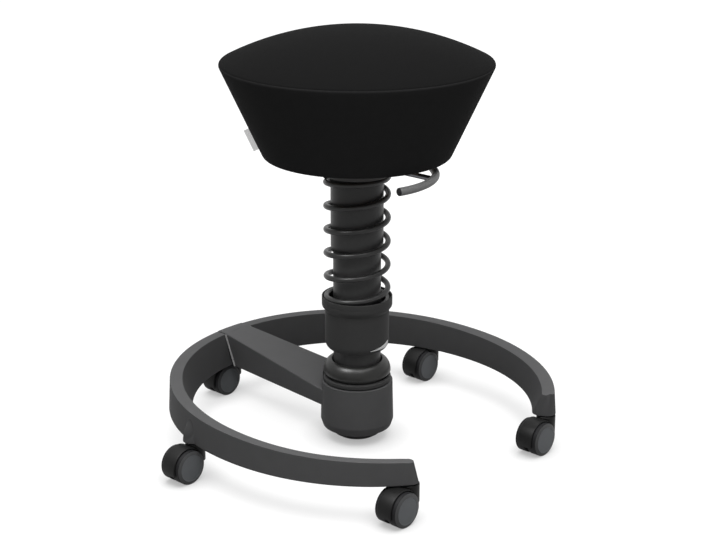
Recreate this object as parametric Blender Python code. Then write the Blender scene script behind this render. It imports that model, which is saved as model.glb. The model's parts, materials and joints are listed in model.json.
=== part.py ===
"""Spring balance stool: an open ring base on five casters, a tilting sprung column, a crowned seat.

Metres, +Z up. The column stands on the Z axis, the floor is z = 0, and the arm of the base
points to +Y, so the opening of the ring faces -Y.
"""
import math

import bmesh
import bpy
from mathutils import Matrix, Vector

# Fits
FIT = 0.0003               # gap between pieces that sit on each other
RUNNING = 0.0004           # gap of a turning or sliding fit
BALL_GAP = 0.0005          # gap of the ball-shaped faces, with room for their facets
CUT_OVER = 0.004           # how far a cutter reaches past the face it cuts
WELD = 0.000001            # merge distance of doubled points

# Casters
WHEEL_RADIUS = 0.0255
WHEEL_WIDTH = 0.0167
WHEEL_GAP = 0.0008         # wheel beside the hood's web
WHEEL_DISC_RADIUS = 0.0200
WHEEL_BEVEL = 0.0017       # disc outside the edge of the tread
HOOD_WIDTH = 0.0360
HOOD_WEB = 0.0050          # wall between the two wheels
HOOD_SHELL = 0.0014        # wall over the wheels
WELL_GAP = 0.0010          # hood round the wheel tread
HOOD_LIFT = 0.0110         # flat underside of the hood above the floor
HOOD_EDGE = 0.0012
NECK_RADIUS = 0.0145
NECK_DEPTH = 0.0315
NECK_TOE = 0.0036
CASTER_TRAIL = 0.0255
AXLE_RADIUS = 0.0030
AXLE_COVER = 0.0080        # wheel left outside the end of the axle
STEM_RADIUS = 0.0055
STEM_IN_HOOD = 0.0085
STEM_IN_RING = 0.0180
STEM_FLANGE = 0.0014
STEM_FLANGE_RADIUS = 0.0090
SIDE_CASTER_ANGLE = 73.4   # degrees from the arm
CASTER_INSET = 0.0085
FRONT_CASTER_INSET = 0.0145

# Base ring
RING_HALF_WIDTH = 0.2865
RING_HALF_LENGTH = 0.2980
RING_SQUARE = 2.07         # power of the ring's plan, 2 for an ellipse
RING_SETBACK = 0.0095      # ring centre in front of the column
RING_END_ANGLE = 145.0     # degrees from the arm, at the front casters
RING_TOP_INSET = 0.0025    # outer wall leans in towards the top
RING_TOP_WIDTH = 0.0190
RING_FOOT_WIDTH = 0.0360
RING_REAR_HEIGHT = 0.0496
RING_END_HEIGHT = 0.0316
RING_FALL_POWER = 0.7      # how the height falls from the arm to the ends
RING_EDGE = 0.0022
SOCKET_BOSS_RADIUS = 0.0130
SOCKET_BOSS_HEIGHT = 0.0310
SOCKET_BOSS_OUT = 0.0050   # boss outside the caster stem
END_REACH = 0.0135         # foot of the ring's end past the caster stem
END_SLANT = 0.0090         # top of the end behind its foot
END_START = 0.0080         # where the end begins, behind the caster stem
END_ROUND = 0.36           # corner radius of the end, as a share of the band's width

# Arm and hub
ARM_REAR_HALF = 0.0265
ARM_HUB_HALF = 0.0480
ARM_DROP = 0.0010          # underside of the arm below the underside of the ring
ARM_SHOULDER = 0.0130      # hub top above the arm where they meet
ARM_EDGE = 0.0025
ARM_SEAM = 0.0010          # arm's end to the ring's inner wall
TONGUE_DEPTH = 0.0050
TONGUE_INSET = 0.0010
RING_SCREW_SPREAD = 0.0205
RING_SCREW_RADIUS = 0.0025
RING_SCREW_HEAD_RADIUS = 0.0045
RING_SCREW_HEAD = 0.0040
FOOT_CLEAR = 0.0045        # foot cap above the floor
FOOT_HEIGHT = 0.0080
FOOT_RADIUS = 0.0365
FOOT_EDGE = 0.0055
FOOT_EDGE_HEIGHT = 0.0035
FOOT_STUB_RADIUS = 0.0120
HUB_HEIGHT = 0.0802
HUB_WALL = 0.0094
HUB_FLARE = 0.0015         # hub grows this much towards its base
HUB_BASE_RADIUS = 0.0420
HUB_FLOOR = 0.0090
HUB_LEDGE = 0.0050
HUB_ROUND_HEIGHT = 0.0180
HUB_TOE_HEIGHT = 0.0072
HUB_TOE_IN = 0.0035
SADDLE_RISE = 0.0160       # raised wall of the hub beside the boot, at the arm
SADDLE_END = 30.0          # degrees, where the raised wall runs out
SADDLE_STEPS = 12

# Tilting joint
BALL_RADIUS = 0.0240
BUSH_WALL = 0.0092
SOCKET_WALL = 0.0106
SOCKET_FLOOR = 0.0020
PIVOT_RISE = 0.0230        # pivot above the hub top
BUSH_TOP_ANGLE = 4.0       # degrees above the pivot
BUSH_LOW_ANGLE = 50.0      # degrees below the pivot
SOCKET_LOW_ANGLE = 55.0
BALL_STEM_RADIUS = 0.0160
BALL_FLANGE = 0.0100
BALL_NECK = 0.0020         # between the ball and its flange
TAIL_RADIUS = 0.0080
TAIL_EDGE = 0.0020
TAIL_LENGTH = 0.0600       # below the ball
TILT_LIMIT = 5.0           # degrees each way on each of two crossed axes
STOP_RING_HEIGHT = 0.0160
CLAMP_HEIGHT = 0.0085
CLAMP_STEP = 0.0028
BOOT_STEP = 0.0030
BOOT_WALL = 0.0030
BOOT_HEIGHT = 0.0259
BOOT_GROOVE = 0.0060       # height of the groove under the dome
BOOT_GROOVE_DEPTH = 0.0028
BOOT_BORE = 0.0460

# Column and spring
SLEEVE_RADIUS = 0.0350
SLEEVE_WALL = 0.0030
LIP_CLEAR = 0.0040         # boot lip round the neck
NECK_SINK = 0.0035         # sleeve end below the boot lip
NECK_SHOW = 0.0180         # neck seen between boot and collar
COLLAR_HEIGHT = 0.0840
COLLAR_RIM_HEIGHT = 0.0142
COLLAR_RIM_WALL = 0.0023
COLLAR_RIM_FLOOR = 0.0005
COLLAR_FLARE = 0.0070       # height of the slope under the rim
COLLAR_STEP = 0.0048       # rim outside the body
COLLAR_WALL = 0.0040
COLLAR_TOE = 0.0020         # flat at the foot of the collar
COLLAR_ROUND = 0.0130
COLLAR_THREAD_HEIGHT = 0.0250
SPRING_SEAT = 0.0035
SPRING_SEAT_SPREAD = 0.0015 # seat ring past the middle of the wire
SLEEVE_BUSH_WALL = 0.0019
SLEEVE_BUSH_HEIGHT = 0.0320
UPPER_SLEEVE_WALL = 0.0020
UPPER_SLEEVE_LENGTH = 0.1097
SPRING_WIRE = 0.0084
SPRING_CLEAR = 0.0026      # spring round the upper sleeve
SPRING_LENGTH = 0.2124
SPRING_PITCH = 0.0365
SPRING_COIL_GAP = 0.0006   # between the closed turns at each end
SPRING_RIM_CLEAR = 0.0006
SPRING_START = 180.0       # degrees, end of the closed bottom turn
CURL_POINTS = 10
UPPER_PLATE = 0.0063       # floor of the dished plate
UPPER_PLATE_RADIUS = 0.0510
PLATE_FLANGE = 0.0040
PLATE_BOSS = 0.0105        # dish inside the spring's top turn
PLATE_WALL = 0.0035
BOUNCE_TRAVEL = 0.0500
BOUNCE_CLEAR = 0.0025

# Gas lift
GAS_TUBE_RADIUS = 0.0250
GAS_TUBE_WALL = 0.0020
GAS_FLOOR = 0.0040
GAS_CLEAR = 0.0080         # gas tube over the ball flange at full bounce
PRESSURE_RADIUS = 0.0140
PRESSURE_WALL = 0.0025
PRESSURE_END = 0.0060
TUBE_BUSH_LENGTH = 0.0795
TUBE_BUSH_FLANGE = 0.0020
LIFT_TRAVEL = 0.1000
ROD_RADIUS = 0.0050
ROD_SHOULDER_RADIUS = 0.0090
ROD_SHOULDER = 0.0040
ROD_TAIL = 0.0065
PISTON_HEIGHT = 0.0100
PISTON_CLEAR = 0.0010
THRUST_RADIUS = 0.0200
THRUST_HEIGHT = 0.0080
CLIP_RADIUS = 0.0100
CLIP_HEIGHT = 0.0040
VALVE_PIN_RADIUS = 0.0035
VALVE_PIN_SHOW = 0.0027
VALVE_PIN_DEPTH = 0.0050

# Seat bracket and lever
BRACKET_CLEAR = 0.0011     # bracket over the lift's bush
BRACKET_HUB_RADIUS = 0.0220
BRACKET_HUB_HEIGHT = 0.0182
BRACKET_PLATE_RADIUS = 0.0650
BRACKET_PLATE = 0.0038
BRACKET_SCREW_SPREAD = 0.0450
BRACKET_SCREW_RADIUS = 0.0030
BRACKET_SCREW_HEAD_RADIUS = 0.0060
BRACKET_SCREW_HEAD = 0.0034
BRACKET_SCREW_BITE = 0.0080
LEVER_ARM = 0.0300         # lever pin in front of the valve pin
LEVER_ROD_RADIUS = 0.0030
LEVER_EYE_RADIUS = 0.0050
LEVER_EYE_WIDTH = 0.0100
LEVER_HEADROOM = 0.0062    # lever rod below the bracket plate
LEVER_PIN_RADIUS = 0.0015
LEVER_LUG = 0.0040
LEVER_TIP = 0.0050         # rod past the valve pin
LEVER_DROP = 0.0075        # grip below the lever pin
LEVER_REACH = 0.1345       # lever rod end in front of the column
GRIP_RADIUS = 0.0055
GRIP_BEND = 0.1150
GRIP_CENTRE_X = -0.0370
GRIP_START = -103.5        # degrees
GRIP_END = -35.0
GRIP_POINTS = 15

# Seat
COVER_THICKNESS = 0.0020
BASE_PLATE = 0.0120
BASE_PLATE_INSET = 0.0123
COVER_TURN_IN = 0.0330
SEAT_BOTTOM_RADIUS = 0.1383
SEAT_RIM_RADIUS = 0.2014
SEAT_SIDE_HEIGHT = 0.1382
SEAT_CROWN = 0.0489
SEAT_RIM_ROUND = 0.0060
SEAT_FOOT_ROUND = 0.0075
ROUND_LEFT = 0.6           # most of a corner's rounding that an inset takes away
RIM_EASE = 1.5             # where the crown turns into the rim, in rim roundings
TAG_LENGTH = 0.0310
TAG_WIDTH = 0.0090
TAG_THICKNESS = 0.0010
TAG_RISE = 0.0080          # along the side, above the seat's lower corner
TAG_ANGLE = 132.4          # degrees round the seat

# Facets
FINE = 36
ROUND = 28
PLAIN = 20
SMALL = 12
WHEEL_SIDES = 16
HOOD_SIDES = 16
BOSS_SIDES = 16
RING_STEPS = 44
ARC_STEPS = 5
END_STEPS = 3
CROWN_STEPS = 9
CORNER_STEPS = 3
INNER_CROWN_STEPS = 3
INNER_CORNER_STEPS = 2

# Heights and radii that follow from the sizes above
wheel_corner = WHEEL_RADIUS / math.cos(math.pi / WHEEL_SIDES)
well_radius = wheel_corner + WELL_GAP
hood_radius = well_radius + HOOD_SHELL
hood_top = WHEEL_RADIUS + hood_radius
ring_bottom = hood_top + FIT + STEM_FLANGE + FIT
ring_top = ring_bottom + RING_REAR_HEIGHT
ring_top_inner = RING_TOP_INSET + RING_TOP_WIDTH

bush_inner = BALL_RADIUS + BALL_GAP
bush_outer = bush_inner + BUSH_WALL
socket_inner = bush_outer + BALL_GAP
socket_outer = socket_inner + SOCKET_WALL
hub_bore = socket_outer + FIT
hub_radius = hub_bore + HUB_WALL
hub_low_bore = hub_bore - HUB_LEDGE
hub_bottom = FOOT_CLEAR + FOOT_HEIGHT + FIT
hub_floor = hub_bottom + HUB_FLOOR
hub_top = hub_bottom + HUB_HEIGHT
arm_top = hub_top - ARM_SHOULDER
clamp_radius = hub_radius - CLAMP_STEP
pivot_z = hub_top + PIVOT_RISE
hub_ledge = pivot_z - socket_inner * math.sin(math.radians(SOCKET_LOW_ANGLE)) - SOCKET_FLOOR - FIT
clamp_bottom = hub_top + FIT
boot_bottom = clamp_bottom + CLAMP_HEIGHT + FIT
boot_top = boot_bottom + BOOT_HEIGHT
tail_end = pivot_z - BALL_RADIUS - TAIL_LENGTH

sleeve_bottom = boot_top - NECK_SINK
sleeve_bore = SLEEVE_RADIUS - SLEEVE_WALL
flange_bottom = pivot_z + math.sqrt(BALL_RADIUS ** 2 - BALL_STEM_RADIUS ** 2) + BALL_NECK
flange_top = flange_bottom + BALL_FLANGE
collar_bottom = boot_top + NECK_SHOW
collar_top = collar_bottom + COLLAR_HEIGHT
upper_sleeve_bore = SLEEVE_RADIUS + FIT + SLEEVE_BUSH_WALL + RUNNING
upper_sleeve_radius = upper_sleeve_bore + UPPER_SLEEVE_WALL
spring_inner = upper_sleeve_radius + SPRING_CLEAR
spring_middle = spring_inner + SPRING_WIRE / 2
spring_outer = spring_inner + SPRING_WIRE
collar_rim_bore = spring_outer + SPRING_RIM_CLEAR
collar_rim_radius = collar_rim_bore + COLLAR_RIM_WALL
collar_radius = collar_rim_radius - COLLAR_STEP
collar_bore = collar_radius - COLLAR_WALL
rim_floor = collar_top - COLLAR_RIM_HEIGHT
collar_ledge = rim_floor - FIT - SPRING_SEAT
spring_seat_radius = spring_middle + SPRING_SEAT_SPREAD
spring_bottom = rim_floor + FIT
spring_top = spring_bottom + SPRING_LENGTH
plate_flange = spring_top + FIT
plate_bottom = plate_flange - PLATE_BOSS
plate_top = plate_bottom + UPPER_PLATE
sleeve_top = plate_bottom - BOUNCE_TRAVEL - BOUNCE_CLEAR

gas_bore = GAS_TUBE_RADIUS - GAS_TUBE_WALL
gas_bottom = flange_top + BOUNCE_TRAVEL + GAS_CLEAR
gas_floor = gas_bottom + GAS_FLOOR
thrust_top = gas_floor + FIT + THRUST_HEIGHT
tube_bush_top = plate_top + FIT + TUBE_BUSH_FLANGE
tube_bush_bottom = plate_top - TUBE_BUSH_LENGTH
pressure_bottom = tube_bush_bottom - LIFT_TRAVEL
pressure_bore = PRESSURE_RADIUS - PRESSURE_WALL
piston_bottom = pressure_bottom + PRESSURE_END + LIFT_TRAVEL + PISTON_CLEAR

bracket_bottom = tube_bush_top + BRACKET_CLEAR
bracket_plate = bracket_bottom + BRACKET_HUB_HEIGHT
bracket_top = bracket_plate + BRACKET_PLATE
lever_z = bracket_plate - LEVER_HEADROOM
valve_pin_top = lever_z - LEVER_ROD_RADIUS - FIT
pressure_top = valve_pin_top - VALVE_PIN_SHOW
grip_z = lever_z - LEVER_DROP
grip_cosine = math.sqrt(1 - (GRIP_CENTRE_X / GRIP_BEND) ** 2)
grip_centre_y = GRIP_BEND * grip_cosine - LEVER_REACH - (FIT + GRIP_RADIUS) / grip_cosine
base_plate_bottom = bracket_top + FIT
base_plate_top = base_plate_bottom + BASE_PLATE
seat_bottom = base_plate_bottom - FIT - COVER_THICKNESS

MATERIALS = {
    "powder_coat": ((0.075, 0.076, 0.080), 0.45, 0.0),
    "black_plastic": ((0.022, 0.022, 0.023), 0.42, 0.0),
    "black_rubber": ((0.016, 0.016, 0.016), 0.75, 0.0),
    "spring_steel": ((0.030, 0.030, 0.031), 0.35, 0.6),
    "bright_steel": ((0.560, 0.570, 0.580), 0.28, 1.0),
    "dark_steel": ((0.110, 0.112, 0.116), 0.35, 0.9),
    "wheel_grey": ((0.050, 0.053, 0.058), 0.50, 0.0),
    "lever_grey": ((0.130, 0.130, 0.132), 0.45, 0.0),
    "nylon": ((0.700, 0.690, 0.650), 0.50, 0.0),
    "plywood": ((0.520, 0.370, 0.220), 0.60, 0.0),
    "foam": ((0.620, 0.600, 0.540), 0.95, 0.0),
    "black_fabric": ((0.010, 0.010, 0.011), 0.95, 0.0),
    "tag_grey": ((0.520, 0.520, 0.520), 0.85, 0.0),
}


def clear_scene():
    for item in list(bpy.data.objects):
        bpy.data.objects.remove(item, do_unlink=True)


def material(name):
    """A Principled material made once from the table of finishes."""
    found = bpy.data.materials.get(name)
    if found:
        return found
    colour, roughness, metallic = MATERIALS[name]
    made = bpy.data.materials.new(name)
    made.use_nodes = True
    shader = made.node_tree.nodes["Principled BSDF"]
    shader.inputs["Base Color"].default_value = (*colour, 1.0)
    shader.inputs["Roughness"].default_value = roughness
    shader.inputs["Metallic"].default_value = metallic
    return made


def empty(name, place, parent=None):
    """A joint's axis point: the pieces that move about it are its children."""
    guide = bpy.data.objects.new(name, None)
    guide.empty_display_size = 0.02
    bpy.context.collection.objects.link(guide)
    guide["world_place"] = list(place)
    set_parent(guide, place, parent)
    return guide


def set_parent(item, place, parent):
    """Put an item at a world place under a parent that has no turn of its own."""
    item.location = Vector(place)
    if parent:
        item.parent = parent
        item.location -= Vector(parent["world_place"])


def add_object(name, data, finish, parent=None, place=(0, 0, 0), turn=(0, 0, 0)):
    item = bpy.data.objects.new(name, data)
    bpy.context.collection.objects.link(item)
    if not data.materials:
        data.materials.append(material(finish))
    item.rotation_euler = turn
    set_parent(item, place, parent)
    return item


def mesh_from(bm, name, sharp_angle=35.0):
    bmesh.ops.recalc_face_normals(bm, faces=bm.faces)
    mesh = bpy.data.meshes.new(name)
    bm.to_mesh(mesh)
    bm.free()
    mesh.shade_smooth()
    mesh.set_sharp_from_angle(angle=math.radians(sharp_angle))
    return mesh


def spun(outline, sides, matrix=None, half_turn=False):
    """A bmesh turned about Z from an outline of (radius, height) points.

    An outline that starts and ends on the axis is open, any other is closed into a loop.
    """
    bm = bmesh.new()
    points = [bm.verts.new((radius, 0, height)) for radius, height in outline]
    edges = [bm.edges.new(pair) for pair in zip(points, points[1:])]
    if outline[0][0] > 0:
        edges.append(bm.edges.new((points[-1], points[0])))
    bmesh.ops.spin(bm, geom=points + edges, cent=(0, 0, 0), axis=(0, 0, 1), dvec=(0, 0, 0),
                   angle=2 * math.pi, steps=sides, use_merge=True, use_duplicate=False)
    bmesh.ops.remove_doubles(bm, verts=bm.verts, dist=WELD)
    if half_turn:
        bmesh.ops.rotate(bm, verts=bm.verts, cent=(0, 0, 0), matrix=Matrix.Rotation(math.pi / sides, 3, "Z"))
    if matrix:
        bmesh.ops.transform(bm, verts=bm.verts, matrix=matrix)
    bmesh.ops.recalc_face_normals(bm, faces=bm.faces)
    return bm


def merged(shapes):
    """One bmesh that holds several separate ones."""
    whole = bmesh.new()
    for shape in shapes:
        scratch = bpy.data.meshes.new("scratch")
        shape.to_mesh(scratch)
        shape.free()
        whole.from_mesh(scratch)
        bpy.data.meshes.remove(scratch)
    return whole


def turned(name, outline, sides, finish, parent=None, place=(0, 0, 0), turn=(0, 0, 0), half_turn=False):
    mesh = mesh_from(spun(outline, sides, half_turn=half_turn), name)
    return add_object(name, mesh, finish, parent, place, turn)


def rod(radius, low, high):
    """Outline of a plain round bar."""
    return [(0, high), (radius, high), (radius, low), (0, low)]


def tube(inner, outer, low, high):
    """Outline of a plain tube."""
    return [(outer, high), (outer, low), (inner, low), (inner, high)]


def arc(centre, radius, start, end, steps=ARC_STEPS):
    """Points on an arc in the outline plane, angles in degrees from the outward radius."""
    turns = [math.radians(start + (end - start) * step / steps) for step in range(steps + 1)]
    return [(centre[0] + radius * math.cos(a), centre[1] + radius * math.sin(a)) for a in turns]


def block(low, high):
    """A box between two corners."""
    bm = bmesh.new()
    bmesh.ops.create_cube(bm, size=1.0)
    size = Vector(high) - Vector(low)
    middle = (Vector(high) + Vector(low)) / 2
    bmesh.ops.transform(bm, verts=bm.verts, matrix=Matrix.Translation(middle) @ Matrix.Diagonal((*size, 1)))
    return bm


def loft(sections):
    """A solid through rings of points with equal counts, closed by a face at each end."""
    bm = bmesh.new()
    rings = [[bm.verts.new(point) for point in section] for section in sections]
    count = len(rings[0])
    for ring, after in zip(rings, rings[1:]):
        for i in range(count):
            j = (i + 1) % count
            bm.faces.new((ring[i], ring[j], after[j], after[i]))
    bm.faces.new(rings[0])
    bm.faces.new(rings[-1])
    bmesh.ops.recalc_face_normals(bm, faces=bm.faces)
    return bm


def circle_across_y(centre, radius, sides, slant=0):
    """Points of a circle that faces along Y, or of its slanted cut by a plane that leans across X."""
    turns = [2 * math.pi * step / sides for step in range(sides)]
    return [centre + radius * Vector((math.cos(a), slant * math.cos(a), math.sin(a))) for a in turns]


def helper(bm, name):
    """A hidden solid that a Boolean joins to a piece or cuts from it."""
    item = bpy.data.objects.new(name, mesh_from(bm, name))
    bpy.context.collection.objects.link(item)
    item.hide_render = True
    item.display_type = "WIRE"
    return item


def boolean(item, operation, bm, name, parent=None):
    """Join a shape to a piece, or cut it from the piece, in world coordinates."""
    tool = helper(bm, name)
    set_parent(tool, (0, 0, 0), parent)
    step = item.modifiers.new(name, "BOOLEAN")
    step.operation = operation
    step.solver = "EXACT"
    step.object = tool


def evaluated_mesh(item, name):
    """The mesh of a piece with its modifiers worked out, ready to be shared by copies."""
    bpy.context.view_layer.update()
    graph = bpy.context.evaluated_depsgraph_get()
    mesh = bpy.data.meshes.new_from_object(item.evaluated_get(graph))
    mesh.name = name
    return mesh


def along_y(place=(0, 0, 0), towards=1):
    """Turn a shape's Z axis to +Y or -Y and move it to a place."""
    return Matrix.Translation(place) @ Matrix.Rotation(-towards * math.pi / 2, 4, "X")


def ring_point(angle, inset, height):
    """A point of the base ring: angle in degrees from the arm, inset from the outer edge of its foot."""
    across = math.sin(math.radians(angle))
    along = math.cos(math.radians(angle))
    power = 2 / RING_SQUARE
    x = (RING_HALF_WIDTH - inset) * math.copysign(abs(across) ** power, across)
    y = (RING_HALF_LENGTH - inset) * math.copysign(abs(along) ** power, along)
    return Vector((x, y - RING_SETBACK, height))


def ring_height(angle):
    """Height of the band, tallest at the arm and lowest at its two ends."""
    low = math.cos(math.radians(RING_END_ANGLE))
    share = (math.cos(math.radians(angle)) - low) / (1 - low)
    return RING_END_HEIGHT + (RING_REAR_HEIGHT - RING_END_HEIGHT) * share ** RING_FALL_POWER


def ring_y(x, inset):
    """How far back the ring's wall lies, near the arm, at an inset from the outer edge of its foot."""
    share = (abs(x) / (RING_HALF_WIDTH - inset)) ** RING_SQUARE
    return (RING_HALF_LENGTH - inset) * (1 - share) ** (1 / RING_SQUARE) - RING_SETBACK


def caster_places():
    """Names of the five casters, their swivel points and the middles of the bosses over them."""
    spots = (("rear", 0, CASTER_INSET),
             ("left", -SIDE_CASTER_ANGLE, CASTER_INSET),
             ("right", SIDE_CASTER_ANGLE, CASTER_INSET),
             ("front_left", -RING_END_ANGLE, FRONT_CASTER_INSET),
             ("front_right", RING_END_ANGLE, FRONT_CASTER_INSET))
    places = []
    for name, angle, inset in spots:
        places.append((name, ring_point(angle, inset, 0), ring_point(angle, inset - SOCKET_BOSS_OUT, 0)))
    return places


def band_outline(height):
    """Outline of the band across its length, as insets and heights: draughted walls, eased edges."""
    half_edge = RING_EDGE / 2
    return ((RING_EDGE, 0), (0, RING_EDGE),
            (RING_TOP_INSET, height - RING_EDGE), (RING_TOP_INSET + RING_EDGE, height),
            (ring_top_inner - half_edge, height), (ring_top_inner, height - half_edge),
            (RING_FOOT_WIDTH, half_edge), (RING_FOOT_WIDTH - half_edge, 0))


def ring_section(angle):
    outline = band_outline(ring_height(angle))
    return [ring_point(angle, inset, ring_bottom + rise) for inset, rise in outline]


def ring_end(side):
    """Sections that close an end of the band: a slanted face with its upright edges rounded."""
    arc_radius = (RING_HALF_WIDTH + RING_HALF_LENGTH) / 2
    height = RING_END_HEIGHT
    sections = []
    for step in range(END_STEPS + 1):
        bend = math.pi / 2 * step / END_STEPS
        ease = 1 - math.cos(bend)
        section = []
        for inset, rise in band_outline(height):
            share = rise / height
            outer = RING_TOP_INSET * share
            inner = RING_FOOT_WIDTH + (ring_top_inner - RING_FOOT_WIDTH) * share
            radius = END_ROUND * (inner - outer)
            towards = 1 if inset < (outer + inner) / 2 else -1
            reach = END_REACH - END_SLANT * share - radius * (1 - math.sin(bend))
            angle = side * (RING_END_ANGLE + math.degrees(reach / arc_radius))
            section.append(ring_point(angle, inset + towards * radius * ease, ring_bottom + rise))
        sections.append(section)
    return sections


def ring_screw_places():
    y = ring_y(RING_SCREW_SPREAD, RING_TOP_INSET + RING_TOP_WIDTH / 2)
    return [("left", -RING_SCREW_SPREAD, y), ("right", RING_SCREW_SPREAD, y)]


def tongue_shape(spare):
    """Plate at the arm's rear end that lies in the top of the ring, grown by a spare all round."""
    half = ARM_REAR_HALF + spare
    columns = [half * step / 4 for step in range(-4, 5)]
    low = ring_top - TONGUE_DEPTH - spare
    high = ring_top + (CUT_OVER if spare else 0)
    inner = ring_top_inner + (CUT_OVER if spare else 2 * TONGUE_DEPTH)
    outer = RING_TOP_INSET + (-CUT_OVER if spare else TONGUE_INSET)
    fall = (ring_top - arm_top) / (ring_y(0, ring_top_inner) - hub_radius)
    sections = []
    for x in columns:
        front = ring_y(x, inner)
        edge = ring_y(x, ring_top_inner)
        back = ring_y(x, outer)
        drop = 0 if spare else (edge - front) * fall + FIT
        outline = ((front, low), (back, low), (back, high), (edge, high), (front, high - drop))
        sections.append([(x, y, z) for y, z in outline])
    return loft(sections)


def build_ring():
    end = RING_END_ANGLE - math.degrees(2 * END_START / (RING_HALF_WIDTH + RING_HALF_LENGTH))
    angles = [-end + 2 * end * step / RING_STEPS for step in range(RING_STEPS + 1)]
    sections = ring_end(-1)[::-1] + [ring_section(angle) for angle in angles] + ring_end(1)
    ring = add_object("base_ring", mesh_from(loft(sections), "base_ring"), "powder_coat")
    low = ring_bottom + FIT
    bosses = []
    holes = []
    for name, place, middle in caster_places():
        if not name.startswith("front"):
            top = low + SOCKET_BOSS_HEIGHT
            outline = [(0, top), (SOCKET_BOSS_RADIUS - RING_EDGE, top),
                       (SOCKET_BOSS_RADIUS, top - RING_EDGE), (SOCKET_BOSS_RADIUS, low), (0, low)]
            bosses.append(spun(outline, BOSS_SIDES, Matrix.Translation(middle)))
        bore = rod(STEM_RADIUS + FIT, ring_bottom - CUT_OVER, ring_bottom + STEM_IN_RING + FIT)
        holes.append(spun(bore, SMALL, Matrix.Translation(place)))
    for side, x, y in ring_screw_places():
        head = ring_bottom + RING_SCREW_HEAD + 2 * FIT
        wide = RING_SCREW_HEAD_RADIUS + FIT
        narrow = RING_SCREW_RADIUS + FIT
        bore = [(0, ring_top + CUT_OVER), (narrow, ring_top + CUT_OVER), (narrow, head), (wide, head),
                (wide, ring_bottom - CUT_OVER), (0, ring_bottom - CUT_OVER)]
        holes.append(spun(bore, SMALL, Matrix.Translation((x, y, 0))))
    boolean(ring, "UNION", merged(bosses), "ring_bosses")
    boolean(ring, "DIFFERENCE", tongue_shape(FIT), "ring_notch")
    boolean(ring, "DIFFERENCE", merged(holes), "ring_holes")


def arm_section(half, low, high, y_at):
    """Outline across the arm, with eased edges, at a distance given for each point."""
    inner = half - ARM_EDGE
    columns = [inner * step / 2 for step in range(-2, 3)]
    outline = [(-half, low + ARM_EDGE), (-half, high - ARM_EDGE)]
    outline += [(x, high) for x in columns]
    outline += [(half, high - ARM_EDGE), (half, low + ARM_EDGE)]
    outline += [(x, low) for x in reversed(columns)]
    return [(x, y_at(x, z), z) for x, z in outline]


def saddle_shape():
    """Raised wall round the arm's side of the boot, highest at the arm."""
    inner = clamp_radius + 2 * FIT
    outer = hub_radius - FIT
    low = hub_top - ARM_EDGE
    run_out = outer * math.sin(math.radians(SADDLE_END))
    sections = []
    for step in range(SADDLE_STEPS + 1):
        turn = math.radians(SADDLE_END + (180 - 2 * SADDLE_END) * step / SADDLE_STEPS)
        share = (outer * math.sin(turn) - run_out) / (outer - run_out)
        high = hub_top + SADDLE_RISE * share
        outline = ((inner, low), (outer, low), (outer, high), (inner, high))
        sections.append([(r * math.cos(turn), r * math.sin(turn), z) for r, z in outline])
    return loft(sections)


def build_hub_arm():
    low = ring_bottom - ARM_DROP

    def wall(x, z):
        share = (z - ring_bottom) / RING_REAR_HEIGHT
        return ring_y(x, RING_FOOT_WIDTH + (ring_top_inner - RING_FOOT_WIDTH) * share) - ARM_SEAM

    def root(x, z):
        return math.sqrt(hub_radius ** 2 - x ** 2) - HUB_WALL / 2

    foot = hub_bottom
    base_radius = hub_radius + HUB_FLARE
    outline = [(0, hub_top), (hub_radius - ARM_EDGE / 2, hub_top), (hub_radius, hub_top - ARM_EDGE / 2),
               (base_radius, foot + HUB_ROUND_HEIGHT),
               (base_radius - HUB_TOE_IN, foot + HUB_TOE_HEIGHT),
               (HUB_BASE_RADIUS, foot), (0, foot)]
    arm = turned("hub_arm", outline, FINE, "powder_coat")
    sections = [arm_section(ARM_HUB_HALF, low, arm_top, root),
                arm_section(ARM_REAR_HALF, low, ring_top, wall)]
    boolean(arm, "UNION", loft(sections), "arm_beam")
    boolean(arm, "UNION", tongue_shape(0), "arm_tongue")
    boolean(arm, "UNION", saddle_shape(), "hub_saddle")
    cavity = [(0, hub_top + CUT_OVER), (hub_bore, hub_top + CUT_OVER), (hub_bore, hub_ledge),
              (hub_low_bore, hub_ledge), (hub_low_bore, hub_floor), (FOOT_STUB_RADIUS + FIT, hub_floor),
              (FOOT_STUB_RADIUS + FIT, foot - CUT_OVER), (0, foot - CUT_OVER)]
    holes = [spun(cavity, FINE)]
    bore = rod(RING_SCREW_RADIUS + FIT, ring_top - TONGUE_DEPTH - CUT_OVER, ring_top - TONGUE_INSET)
    holes += [spun(bore, SMALL, Matrix.Translation((x, y, 0))) for side, x, y in ring_screw_places()]
    boolean(arm, "DIFFERENCE", merged(holes), "hub_cavity")


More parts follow.
